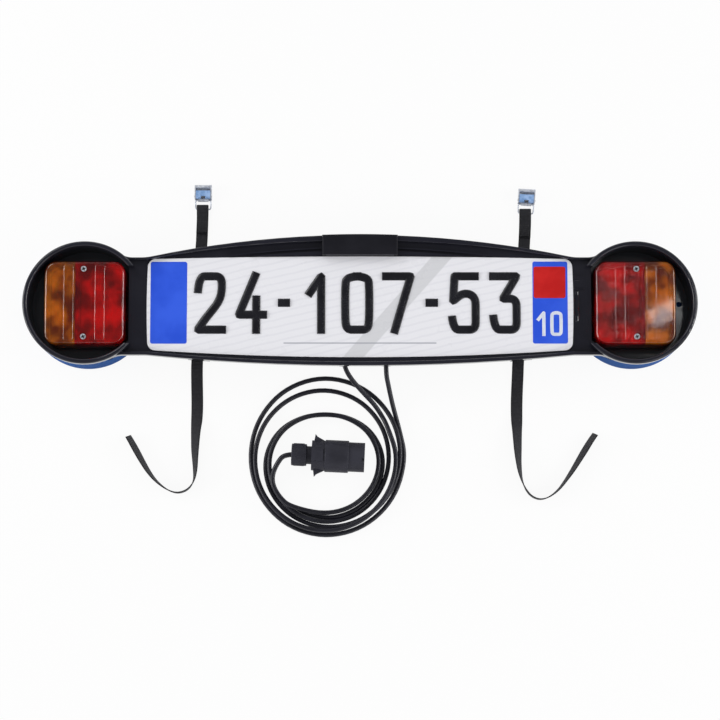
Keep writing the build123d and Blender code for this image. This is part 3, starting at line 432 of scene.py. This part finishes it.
def woven():
    rib, warp, edge = cloth["rib"], cloth["warp"], cloth["edge"]

    def build(graph):
        u, v = graph.axes(graph.add("ShaderNodeUVMap", {"uv_map": "weave"}))[:2]
        fuzz = graph.noise(graph.place(), cloth["fuzz"]["scale"])
        threads = v.wave(rib["pitch"]) * rib["share"] + u.wave(warp["pitch"]) * warp["share"]
        relief = threads + fuzz * cloth["fuzz"]["share"]
        border = graph.step(abs(u - edge["middle"]), *edge["from"])
        shade = graph.mix(graph.step(relief, *cloth["relief"]), cloth["dark"], cloth["light"])
        return {
            "Base Color": graph.mix(border * edge["share"], shade, edge["tint"]),
            "Roughness": graph.step(fuzz, *spread, *cloth["rough"]),
            "Normal": graph.bump(relief, cloth["bump"], cloth["depth"]),
        }
    return finish("webbing", {"Specular IOR Level": 0.3, "Sheen Weight": 0.05}, build)


finishes["plate"] = plateSheet()
finishes["webbing"] = woven()
for entry in frame["record"]["subparts"]:
    node = nodes[entry["node"]]
    node.data.materials.clear()
    node.data.materials.append(finishes[entry["material_slot"]])
    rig.slot(node, entry["material_slot"])
print("finishes made:", len(finishes))


def linked(name, data):
    piece = bpy.data.objects.new(name, data)
    bpy.context.scene.collection.objects.link(piece)
    return piece


def plainMesh(piece):
    bpy.context.view_layer.update()
    shaped = piece.evaluated_get(bpy.context.evaluated_depsgraph_get())
    return bpy.data.meshes.new_from_object(shaped)


def meshOf(name, shape):
    mesh = bpy.data.meshes.new(name)
    shape.to_mesh(mesh)
    shape.free()
    return mesh


curve = {"steps": 6, "order": 3, "round": 4}


def splineOf(points):
    shape = bpy.data.curves.new("route", "CURVE")
    shape.dimensions = "3D"
    shape.resolution_u = curve["steps"]
    spline = shape.splines.new("NURBS")
    spline.points.add(len(points) - 1)
    for place, point in zip(spline.points, points):
        place.co = (point[0] * mm, point[1] * mm, point[2] * mm, 1)
    spline.order_u = curve["order"]
    spline.use_endpoint_u = True
    return shape


def tubeOf(points, across):
    shape = splineOf(points)
    shape.bevel_depth = across / 2 * mm
    shape.bevel_resolution = curve["round"]
    shape.use_fill_caps = True
    return shape


def lineOf(points):
    route = linked("route", splineOf(points))
    line = [vertex.co.copy() for vertex in plainMesh(route).vertices]
    bpy.data.objects.remove(route)
    return line


# Geometry tree with named sizes, run once on its start and kept as a plain mesh.
# A tree that dresses its own pieces is given no material
def grown(name, start, sizes, build, material=None):
    tree = bpy.data.node_groups.new(name, "GeometryNodeTree")
    tree.interface.new_socket("Geometry", in_out="OUTPUT", socket_type="NodeSocketGeometry")
    tree.interface.new_socket("Geometry", in_out="INPUT", socket_type="NodeSocketGeometry")
    slots = {}
    for key in sizes:
        slots[key] = tree.interface.new_socket(key, in_out="INPUT", socket_type="NodeSocketFloat")
    graph = Graph(tree)
    entry = tree.nodes.new("NodeGroupInput")
    given = {key: Wire(graph, entry.outputs[key]) for key in ("Geometry", *sizes)}
    whole = graph.add("GeometryNodeRealizeInstances", {}, {0: build(graph, given)})
    if material:
        whole = graph.dress(whole, material)
    graph.feed(tree.nodes.new("NodeGroupOutput").inputs[0], whole)
    piece = linked(name, start)
    modifier = piece.modifiers.new(name, "NODES")
    modifier.node_group = tree
    for key, value in sizes.items():
        modifier[slots[key].identifier] = value
    mesh = plainMesh(piece)
    bpy.data.objects.remove(piece)
    return linked(name, mesh)


# Two leads: points from the grommet to the coil as x, y from the lamp line and z, then the reach from
# the coil's middle at the right, foot, left and top of each turn. The right one is laid first
coil = {"middle": (-43.8, -185.45), "across": 5.8, "pitch": 3.1, "perQuarter": 3,
        "layers": 3, "own": 8, "held": (3, 4)}
leads = {
    "rightCord": {
        "stands": ["right_lead", "right_tail"], "shift": -1,
        "free": [(31.9, -67.85, 27), (31.9, -83.5, 27), (34.4, -95, 21), (37.3, -108, 13),
                 (40.5, -121, 6.5), (44.3, -135, 3.3), (48.6, -151, 2.9)],
        "reach": [97, 94, 90, 99, 93, 84, 72, 53, 72, 73]},
    "leftCord": {
        "stands": ["left_lead", "left_tail", "lead_coil"], "shift": 1,
        "free": [(-19.6, -67.95, 27), (-18.8, -75.5, 27), (-11.5, -88.5, 22), (4, -105.5, 13.5),
                 (17.5, -119, 7), (27, -133, 3.6), (33.5, -146, 3)],
        "reach": [88, 89, 85, 84, 79, 78, 67, 53, 67, 67]},
}
tail = [(-86, -245, 5.7), (-97.5, -234.5, 5.7), (-105.5, -221.8, 6.2), (-107.8, -211, 7.8),
        (-106, -201.7, 11), (-101, -192, 15.5), (-92.8, -181.3, 20), (-77.8, -182, 20)]


# Smooth reach at any place between the quarters of a turn
def reachAt(quarters, place):
    index = min(int(place), len(quarters) - 2)
    share = place - index
    last = len(quarters) - 1
    before, here, after, beyond = (quarters[min(max(index + step, 0), last)] for step in (-1, 0, 1, 2))
    bend = 3 * (here - after) + beyond - before
    swell = 2 * before - 5 * here + 4 * after - beyond + share * bend
    return here + share * (after - before + share * swell) / 2


# The curve passes inside its points, so each point of the coil stands a little further out than its reach
def leadRoute(lead):
    x, y = coil["middle"]
    turn = math.pi / 2 / coil["perQuarter"]
    inward = 0.75 + 0.25 * math.cos(turn)
    points = list(lead["free"])
    for index in range(coil["perQuarter"] * (len(lead["reach"]) - 1) + 1):
        out = reachAt(lead["reach"], index / coil["perQuarter"]) / inward
        angle = -index * turn
        points.append((x + out * math.cos(angle), y + out * math.sin(angle), coil["across"] / 2))
    points += [(x, y, z + lead["shift"] * coil["pitch"]) for x, y, z in tail]
    return [(x, axisY + y, z) for x, y, z in points]


# Height at which a place on a lead clears the lines under it
def restingHeight(here, below):
    across = coil["across"] * mm
    heights = [across / 2]
    for other in below:
        gap = (here - other).xy.length
        if gap < across:
            heights.append(other.z + math.sqrt(across ** 2 - gap ** 2))
    return max(heights) / mm


# Raises the points of a route, but for the held ones at its ends, until every stretch lies over what was
# laid before it
def laidOver(route, laid):
    bends = curve["order"] - 1
    first, last = coil["held"]
    for layer in range(coil["layers"]):
        line = lineOf(route)
        span = (len(line) - 1) // (len(route) - bends)
        needs = []
        for index, here in enumerate(line):
            below = laid + line[:max(0, index - coil["own"])]
            needs.append(restingHeight(here, below))
        for index in range(first, len(route) - last):
            x, y, z = route[index]
            route[index] = (x, y, max(z, *needs[(index - bends) * span:(index + 1) * span]))
    return route


plugNodes = [nodes[name] for name in ("plug_shell", "plug_gland_nut", "plug_insert", "plug_pins")]
laid = []
for name, lead in leads.items():
    route = laidOver(leadRoute(lead), laid)
    line = lineOf(route)
    laid += line
    length = sum((after - before).length for before, after in zip(line, line[1:]))
    shape = tubeOf(route, coil["across"])
    shape.materials.append(finishes["lead"])
    cord = linked(name, shape)
    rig.ride(cord, "board")
    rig.replaces(cord, *lead["stands"])
    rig.slot(cord, "lead")
    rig.cord(cord, exit=line[0], length=length, diameter=coil["across"] * mm, far_end="plug",
            stiffness="medium", lay="coiled", with_pieces=plugNodes)
    print(name, "length", round(length, 3), "top", round(max(point.z for point in line), 4))


# Straps: each point is x, y from the lamp line, z and the roll about the run
straps = {
    "leftWebbing": {
        "node": "left_strap", "fold": (-195.8, 124.8, -196.4), "turn": 1,
        "under": [(-196.6, 86, 1.9, 0), (-196.9, 79, 3.8, 0), (-197.2, 71, 4.95, 0), (-201.2, -70, 4.95, 0),
                  (-201.3, -79, 3.8, 0), (-201.3, -88, 1.8, 0), (-201.1, -99, 0.8, 0)],
        "loose": [(-200.6, -120, 0), (-201, -138, 10), (-202, -150, 30), (-202.5, -163, 40),
                  (-202.8, -175, 47), (-202.5, -187.5, 58), (-202.2, -200, 66), (-203.3, -212.3, 80),
                  (-208.3, -221.4, 88), (-215.8, -226.6, 90), (-224.9, -228.3, 90), (-234.4, -225.4, 88),
                  (-244.1, -219.1, 84), (-252.7, -211.1, 78), (-260.2, -201.3, 70), (-267.7, -188.9, 65),
                  (-275.2, -175.4, 60), (-282.1, -163.1, 63), (-285.2, -158.1, 64)]},
    "rightWebbing": {
        "node": "right_strap", "fold": (205.5, 119.8, 204.6), "turn": -1,
        "under": [(204, 82, 1.9, 0), (203.6, 76, 3.8, 0), (203, 69, 4.95, 0), (195, -70, 4.95, 0),
                  (194.8, -79, 3.8, 0), (194.5, -88, 1.8, 0), (193.9, -99, 0.8, 0)],
        "loose": [(193.1, -120, 0), (193.1, -138, 10), (193.3, -150, 30), (193.6, -163, 40),
                  (194, -175, 47), (194.6, -187.5, 58), (195.9, -200, 66), (198.3, -212.3, 80),
                  (203.5, -224.6, 90), (210.8, -233, 90), (220.9, -236.6, 90), (231.9, -233.6, 88),
                  (243.6, -224.6, 84), (252.7, -212.6, 78), (261.2, -200.2, 70), (268.9, -187.7, 65),
                  (276.4, -175.4, 60), (284, -163.1, 63), (289.4, -155.7, 64)]},
}
band = {"width": 14.5, "thick": 1.4, "gap": 0.2, "bar": 2.75, "fold": 1.9, "reach": 3.5, "flap": 34.0,
        "ramp": {"foot": 14, "start": 7.5, "lift": 0.6, "end": 3.5, "dip": 0.5, "crest": 0.8}, "lower": 8,
        "buckle": ("bail", "frame", "lever", "pin", "spring"),
        "section": [(-1, 0), (-0.96, 0.72), (-0.88, 1), (-0.3, 1), (0.3, 1), (0.88, 1), (0.96, 0.72),
                    (1, 0), (0.96, -0.72), (0.88, -1), (0.3, -1), (-0.3, -1), (-0.88, -1), (-0.96, -0.72)]}


# From the end of the flap up over the buckle's bar, back under it, along the board and out to the loose end
def strapPoints(strap):
    x, barY, flapX = strap["fold"]
    low = band["thick"] / 2 + band["gap"] / 2
    flap = low + band["thick"] + band["gap"]
    over = band["bar"] + band["fold"]
    slant = band["fold"] * math.sin(math.radians(45))
    end = barY - band["flap"] + band["reach"]
    far = barY + band["reach"]
    ramp = band["ramp"]
    points = [
        (flapX, end, flap, 0),
        (x, barY - ramp["foot"], flap, 0),
        (x, barY - ramp["start"], flap + ramp["lift"], 0),
        (x, barY - ramp["end"], over - ramp["dip"], 0),
        (x, barY - ramp["crest"], over, 0),
        (x, far, over, 0),
        (x, far + slant, band["bar"] + slant, 0),
        (x, far + band["fold"], band["bar"], 0),
        (x, far + slant, band["bar"] - slant, 0),
        (x, far, low, 0),
        (x, barY - band["lower"], low, 0),
        (flapX, end, low, 0),
    ]
    points += strap["under"]
    for x, y, roll in strap["loose"]:
        angle = math.radians(roll)
        lift = band["width"] / 2 * math.sin(angle) + band["thick"] / 2 * math.cos(angle) + band["gap"] / 2
        points.append((x, y, lift, roll))
    return points


def strapEdges(points, turn):
    placed = [Vector((x, axisY + y, z)) for x, y, z, roll in points]
    widthWay = Vector((1, 0, 0))
    edges = ([], [])
    for index, here in enumerate(placed):
        way = (placed[min(index + 1, len(placed) - 1)] - placed[max(index - 1, 0)]).normalized()
        widthWay = (widthWay - way * widthWay.dot(way)).normalized()
        rolled = Quaternion(way, math.radians(turn * points[index][3])) @ widthWay
        edges[0].append(here - rolled * band["width"] / 2)
        edges[1].append(here + rolled * band["width"] / 2)
    return [lineOf(edge) for edge in edges]


def strapMesh(name, edges):
    section = band["section"]
    shape = bmesh.new()
    weave = shape.loops.layers.uv.new("weave")
    middle = [(a + b) / 2 for a, b in zip(*edges)]
    half = band["width"] * mm / 2
    rings = []
    run = 0
    runs = []
    for index, centre in enumerate(middle):
        way = (middle[min(index + 1, len(middle) - 1)] - middle[max(index - 1, 0)]).normalized()
        side = (edges[1][index] - edges[0][index]).normalized()
        out = side.cross(way).normalized()
        places = [centre + side * half * u + out * band["thick"] * mm / 2 * v for u, v in section]
        rings.append([shape.verts.new(place) for place in places])
        run += (centre - middle[index - 1]).length if index else 0
        runs.append(run / mm)
    for index in range(len(rings) - 1):
        for spot in range(len(section)):
            after = (spot + 1) % len(section)
            marks = ((spot, index), (after, index), (after, index + 1), (spot, index + 1))
            face = shape.faces.new([rings[step][mark] for mark, step in marks])
            face.smooth = True
            for loop, (mark, step) in zip(face.loops, marks):
                loop[weave].uv = ((section[mark][0] + 1) * band["width"] / 2, runs[step])
    shape.faces.new(list(reversed(rings[0])))
    shape.faces.new(rings[-1])
    bmesh.ops.recalc_face_normals(shape, faces=shape.faces[:])
    return meshOf(name, shape), middle, run


for name, strap in straps.items():
    points = strapPoints(strap)
    mesh, middle, run = strapMesh(name, strapEdges(points, strap["turn"]))
    mesh.materials.append(finishes["webbing"])
    webbing = linked(name, mesh)
    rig.ride(webbing, "board")
    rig.replaces(webbing, strap["node"])
    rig.slot(webbing, "webbing")
    buckle = [nodes[strap["node"].replace("strap", "buckle_" + part)] for part in band["buckle"]]
    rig.cord(webbing, exit=middle[0], length=run, diameter=band["width"] * mm, far_end="bare",
            stiffness="limp", lay="loose", path=middle, with_pieces=buckle)
    print(name, "length", round(run, 3))


# Number plate marks: bands, a red square and raised plain digits, each as left, bottom, right, top in mm
plateTop = 50.5
printCorner = 2.6
marks = {
    "platePrint": [("bandBlue", 0.12, (-255.4, -53.0, -210.9, 47.7)),
                   ("bandBlue", 0.12, (210.4, -52.9, 253.1, 48.0)),
                   ("markRed", 0.24, (211.7, 3.0, 250.6, 41.7))],
    "plateDigits": [("2", (-202.6, -40.9, -163.1, 34.9)), ("4", (-152.6, -40.9, -113.2, 34.9)),
                    ("-", (-100.0, -8.0, -85.3, 2.4)), ("1", (-65.9, -40.9, -38.9, 34.9)),
                    ("0", (-23.2, -40.9, 16.4, 34.9)), ("7", (26.9, -40.9, 66.9, 34.9)),
                    ("-", (79.8, -8.0, 95.0, 2.4)), ("5", (107.4, -40.9, 146.0, 34.9)),
                    ("3", (157.5, -40.9, 195.9, 34.9))],
    "bandDigits": [("1", (215.4, -43.6, 227.5, -12.9)), ("0", (231.5, -43.6, 247.0, -12.9))],
}
digits = {
    "plateDigits": {"lift": 0.2, "stroke": 10.2, "relief": 1.3, "finish": "ink"},
    "bandDigits": {"lift": 0.1, "stroke": 4.2, "relief": 0.2, "finish": "markPale"},
}
# Strokes of the digits in a unit box; a point given twice is a sharp corner
strokes = {
    "0": [[(0.5, 1), (0.06, 1), (0, 0.8), (0, 0.2), (0.06, 0), (0.5, 0), (0.94, 0), (1, 0.2), (1, 0.8),
           (0.94, 1), (0.5, 1)]],
    "1": [[(0, 0.7), (0.8, 1), (0.8, 1), (0.8, 0)]],
    "2": [[(0, 0.76), (0.03, 1), (0.5, 1), (0.97, 1), (1, 0.74), (0.88, 0.52), (0.3, 0.2), (0, 0),
           (0, 0), (1, 0)]],
    "3": [[(0, 1), (1, 1), (1, 1), (0.42, 0.58), (0.42, 0.58), (1, 0.58), (1, 0.28), (1, 0), (0.5, 0),
           (0.04, 0), (0, 0.2)]],
    "4": [[(0.66, 1), (0, 0.28), (0, 0.28), (1, 0.28)], [(0.72, 0.56), (0.72, 0)]],
    "5": [[(0.96, 1), (0.1, 1), (0.1, 1), (0.04, 0.54), (0.04, 0.54), (0.5, 0.7), (1, 0.62), (1, 0.3),
           (1, 0), (0.5, 0), (0.04, 0), (0, 0.18)]],
    "7": [[(0, 1), (1, 1), (1, 1), (0.36, 0)]],
    "-": [[(0, 0.5), (1, 0.5)]],
}


def roundedSlab(shape, box, z, thick, radius, slope=0.0, steps=5):
    left, low, right, top = box
    corners = ((right - radius, top - radius, 0), (left + radius, top - radius, 90),
               (left + radius, low + radius, 180), (right - radius, low + radius, 270))
    lower, upper = [], []
    for x, y, start in corners:
        for step in range(steps + 1):
            angle = math.radians(start + 90 * step / steps)
            for ring, reach, height in ((lower, radius, z), (upper, radius - slope, z + thick)):
                place = (x + reach * math.cos(angle), y + reach * math.sin(angle), height)
                ring.append(shape.verts.new([value * mm for value in place]))
    faces = [shape.faces.new(upper), shape.faces.new(list(reversed(lower)))]
    for index in range(len(lower)):
        after = (index + 1) % len(lower)
        faces.append(shape.faces.new((lower[index], lower[after], upper[after], upper[index])))
    return faces


def strokeMeshes(text, box, z, width, relief):
    left, low, right, top = box
    meshes = []
    for stroke in strokes[text]:
        points = [(left + width / 2 + u * (right - left - width),
                   low + width / 2 + v * (top - low - width), 0) for u, v in stroke]
        for end, inner in ((0, 1), (-1, -2)):
            way = Vector(points[end]) - Vector(points[inner])
            points[end] = Vector(points[end]) + way.normalized() * width / 2
        piece = linked("stroke", tubeOf(points, width))
        mesh = plainMesh(piece)
        bpy.data.objects.remove(piece)
        for vertex in mesh.vertices:
            vertex.co.z = z * mm + vertex.co.z * relief * 2 / width
        meshes.append(mesh)
    return meshes


def joined(name, meshes):
    shape = bmesh.new()
    for mesh in meshes:
        shape.from_mesh(mesh)
    return meshOf(name, shape)


def ridePlate(name, mesh, materials):
    for material in materials:
        mesh.materials.append(finishes[material])
    piece = linked(name, mesh)
    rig.ride(piece, "board")
    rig.slot(piece, "plate")


shape = bmesh.new()
printed = ["bandBlue", "markRed"]
for material, thick, box in marks["platePrint"]:
    for face in roundedSlab(shape, box, plateTop, thick, printCorner):
        face.material_index = printed.index(material)
ridePlate("platePrint", meshOf("platePrint", shape), printed)
for name, style in digits.items():
    parts = []
    for text, box in marks[name]:
        parts += strokeMeshes(text, box, plateTop + style["lift"], style["stroke"], style["relief"])
    ridePlate(name, joined(name, parts), [style["finish"]])
print("number plate marked")

# Low ridges round the slot in the right neck, as left, bottom, right, top in mm
neck = {"face": 48.9, "rise": 0.6, "round": 0.88, "slope": 0.82,
        "ridges": [(261.0, -26.0, 262.8, 12.2), (265.2, -26.0, 267.0, 12.2), (261.0, 10.4, 267.0, 12.2),
                   (261.0, -26.0, 267.0, -24.2), (261.0, 14.2, 274.6, 16.0), (261.0, 24.3, 268.7, 26.1)]}
shape = bmesh.new()
for box in neck["ridges"]:
    roundedSlab(shape, box, neck["face"], neck["rise"], neck["round"], neck["slope"])
mesh = meshOf("neckRidges", shape)
mesh.materials.append(finishes["board"])
piece = linked("neckRidges", mesh)
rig.ride(piece, "board")
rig.slot(piece, "board")

# Lens screws with cross recesses, two to a lamp; the recesses are lined with the black lamp-base finish as painted
# shade
screws = {"left": (-336, -45.45, 37.55), "right": (336, -45.45, 37.55), "foot": 16.6, "turn": 0.4,
          "sides": {"head": 40, "shank": 24},
          "sizes": {"Head": 0.0033, "Head height": 0.0025, "Shank": 0.002, "Shank length": 0.0426,
                    "Recess": 0.005, "Recess width": 0.0018, "Recess depth": 0.0023}}


def screwTree(graph, given):
    head = graph.add("GeometryNodeMeshCylinder", {}, {
        "Vertices": screws["sides"]["head"], "Radius": given["Head"], "Depth": given["Head height"]})
    head = graph.dress(head, "zinc")
    slots = []
    for turn in (0, math.pi / 2):
        size = graph.vector(given["Recess"], given["Recess width"], given["Recess depth"] * 2)
        # Painted shade: the recess cutters pass the black lamp-base finish to the faces they cut, so the recesses show
        # dark
        slot = graph.dress(graph.add("GeometryNodeMeshCube", {}, {"Size": size}), "lamp_base")
        lift = graph.vector(z=given["Head height"] / 2)
        slots.append(graph.add("GeometryNodeTransform", {}, {
            "Geometry": slot, "Translation": lift, "Rotation": (0, 0, turn + screws["turn"])}))
    for slot in slots:
        cut = {"Mesh 1": head, "Mesh 2": slot}
        head = graph.add("GeometryNodeMeshBoolean", {"operation": "DIFFERENCE"}, cut)
    lift = graph.vector(z=given["Shank length"] + given["Head height"] / 2)
    head = graph.add("GeometryNodeTransform", {}, {"Geometry": head, "Translation": lift})
    shank = graph.add("GeometryNodeMeshCylinder", {}, {
        "Vertices": screws["sides"]["shank"], "Radius": given["Shank"], "Depth": given["Shank length"]})
    lift = graph.vector(z=given["Shank length"] / 2)
    shank = graph.add("GeometryNodeTransform", {}, {"Geometry": shank, "Translation": lift})
    both = graph.tree.nodes.new("GeometryNodeJoinGeometry")
    graph.feed(both.inputs[0], head)
    graph.feed(both.inputs[0], graph.dress(shank, "zinc"))
    return graph.add("GeometryNodeInstanceOnPoints", {}, {
        "Points": given["Geometry"], "Instance": Wire(graph, both.outputs[0])})


for side in ("left", "right"):
    x, low, high = screws[side]
    spots = bpy.data.meshes.new("spots")
    spots.from_pydata([(x * mm, y * mm, screws["foot"] * mm) for y in (low, high)], [], [])
    piece = grown(side + "LensScrews", spots, screws["sizes"], screwTree)
    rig.ride(piece, "board")
    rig.replaces(piece, side + "_lens_screws")
    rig.slot(piece, "steel")

# Grip ribs round the plug's gland nut
ribs = {"at": (-74.6, -185.95, 20.0), "turn": -2.6, "sides": 10,
        "sizes": {"Ring": 0.0131, "Rib": 0.0008, "Rib length": 0.013, "Count": 26.0}}


def ribTree(graph, given):
    ring = graph.add("GeometryNodeMeshCircle", {}, {"Vertices": given["Count"], "Radius": given["Ring"]})
    rib = graph.add("GeometryNodeMeshCylinder", {}, {
        "Vertices": ribs["sides"], "Radius": given["Rib"], "Depth": given["Rib length"]})
    ringed = graph.add("GeometryNodeInstanceOnPoints", {}, {"Points": ring, "Instance": rib})
    return graph.add("GeometryNodeTransform", {}, {
        "Geometry": ringed, "Translation": [value * mm for value in ribs["at"]],
        "Rotation": (0, math.pi / 2, math.radians(ribs["turn"]))})


piece = grown("glandRibs", bpy.data.meshes.new("none"), ribs["sizes"], ribTree, "plug")
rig.ride(piece, "board")
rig.slot(piece, "plug")

# Box stitching through the folded end of each strap
stitch = {"half": 4.6, "inset": 2.4, "run": 13.0, "lift": 3.16, "segments": 8, "rings": 6,
          "sizes": {"Pitch": 0.0027, "Thread": 0.00032, "Stitch": 0.0021}}


def stitchTree(graph, given):
    spots = graph.tree.nodes.new("GeometryNodeCurveToPoints")
    spots.mode = "LENGTH"
    graph.feed(spots.inputs["Curve"], given["Geometry"])
    graph.feed(spots.inputs["Length"], given["Pitch"])
    bead = graph.add("GeometryNodeMeshUVSphere", {}, {
        "Segments": stitch["segments"], "Rings": stitch["rings"], "Radius": 1.0})
    size = graph.vector(given["Thread"], given["Thread"], given["Stitch"] / 2)
    bead = graph.add("GeometryNodeTransform", {}, {"Geometry": bead, "Scale": size})
    return graph.add("GeometryNodeInstanceOnPoints", {}, {
        "Points": Wire(graph, spots.outputs["Points"]), "Instance": bead,
        "Rotation": Wire(graph, spots.outputs["Rotation"])})


for name, strap in straps.items():
    x, barY, flapX = strap["fold"]
    low = axisY + barY - band["flap"] + band["reach"] + stitch["inset"]
    high = low + stitch["run"]
    left = flapX - stitch["half"]
    right = flapX + stitch["half"]
    corners = [(left, low), (right, low), (right, high), (left, high)]
    sewn = bpy.data.curves.new("sewn", "CURVE")
    sewn.dimensions = "3D"
    for ends in ((0, 1), (1, 2), (2, 3), (3, 0), (0, 2), (1, 3)):
        seam = sewn.splines.new("POLY")
        seam.points.add(1)
        for place, end in zip(seam.points, ends):
            x, y = corners[end]
            place.co = (x * mm, y * mm, stitch["lift"] * mm, 1)
    piece = grown(name + "Stitches", sewn, stitch["sizes"], stitchTree, "thread")
    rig.ride(piece, "board")
    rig.slot(piece, "webbing")
print("screws, ribs and stitches grown")

# Stage: white floor and surroundings, soft lights
ground = {"half": 4, "paint": (0.8, 0.8, 0.8, 1), "glow": 0.92}
floorMesh = bpy.data.meshes.new("floor")
floorCorners = [(x * ground["half"], y * ground["half"], 0) for x, y in ((-1, -1), (1, -1), (1, 1), (-1, 1))]
floorMesh.from_pydata(floorCorners, [], [(0, 1, 2, 3)])
floor = linked("floor", floorMesh)
floorMaterial = bpy.data.materials.new("floorWhite")
floorGraph = cleared(floorMaterial)
seen, mirrored, through = floorGraph.rays()
lit = (seen + mirrored + through).math("MINIMUM", 1.0)
glow = floorGraph.add("ShaderNodeEmission", {}, {"Color": (1, 1, 1, 1), "Strength": 1.0})
paint = floorGraph.add("ShaderNodeBsdfDiffuse", {}, {"Color": ground["paint"]})
blendShader = floorGraph.add("ShaderNodeMixShader", {}, {0: lit * ground["glow"], 1: paint, 2: glow})
floorOutput = floorMaterial.node_tree.nodes.new("ShaderNodeOutputMaterial")
floorGraph.feed(floorOutput.inputs["Surface"], blendShader)
floorMesh.materials.append(floorMaterial)
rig.stage(floor)

# The camera and the lenses see white all round, and mirrors see a darker patch overhead
studio = {"ambient": 0.52, "rise": (0.25, 0.8), "overhead": 0.14}
world = bpy.data.worlds.new("studio")
bpy.context.scene.world = world
sky = cleared(world)
seen, mirrored, through = sky.rays()
height = sky.axes(sky.add("ShaderNodeTexCoord", output="Generated"))[2]
overhead = sky.step(height, *studio["rise"], 1.0, studio["overhead"])
ambient = studio["ambient"]
bright = (seen + through) * (1 - ambient) + mirrored * (overhead - ambient) + ambient
strength = bright.math("MINIMUM", 1.0)
backdrop = sky.add("ShaderNodeBackground", {}, {"Color": (1, 1, 1, 1), "Strength": strength})
skyOutput = world.node_tree.nodes.new("ShaderNodeOutputWorld")
sky.feed(skyOutput.inputs["Surface"], backdrop)

lightsAim = Vector((0, -0.05, 0.03))
lights = [
    {"name": "keyLight", "at": (-1.3, 1.2, 1.5), "size": (0.8, 0.8), "power": 8},
    {"name": "fillLight", "at": (1.2, -1.3, 1.4), "size": (0.9, 0.9), "power": 6},
    {"name": "leftStrip", "at": (-2.2, -0.1, 0.8), "size": (1.6, 0.7), "power": 29},
    {"name": "rightStrip", "at": (2.2, -0.1, 0.8), "size": (1.6, 0.7), "power": 29},
    {"name": "window", "at": (0.624, 0.22, 1.7), "size": (0.035, 0.16), "power": 0.18},
]


def aimed(piece, place, target):
    piece.location = place
    piece.rotation_mode = "QUATERNION"
    piece.rotation_quaternion = (target - Vector(place)).to_track_quat("-Z", "Y")


for entry in lights:
    light = bpy.data.lights.new(entry["name"], "AREA")
    light.shape = "RECTANGLE"
    light.size, light.size_y = entry["size"]
    light.energy = entry["power"]
    aimed(linked(entry["name"], light), entry["at"], lightsAim)

view = {"at": (0, -0.3962, 2.9324), "target": (0, -0.07295, 0.0505), "lens": 119.29, "sensor": 36, "far": 20}
eye = bpy.data.cameras.new("camera")
eye.lens = view["lens"]
eye.sensor_width = view["sensor"]
eye.clip_end = view["far"]
camera = linked("camera", eye)
aimed(camera, view["at"], Vector(view["target"]))
bpy.context.scene.camera = camera
bpy.context.scene.view_settings.view_transform = "Standard"
print("stage set")

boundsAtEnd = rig.bounds()
with open("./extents.json", "w") as file:
    json.dump({"load": [list(corner) for corner in boundsAtLoad], "end": [list(corner) for corner in boundsAtEnd]},
              file)
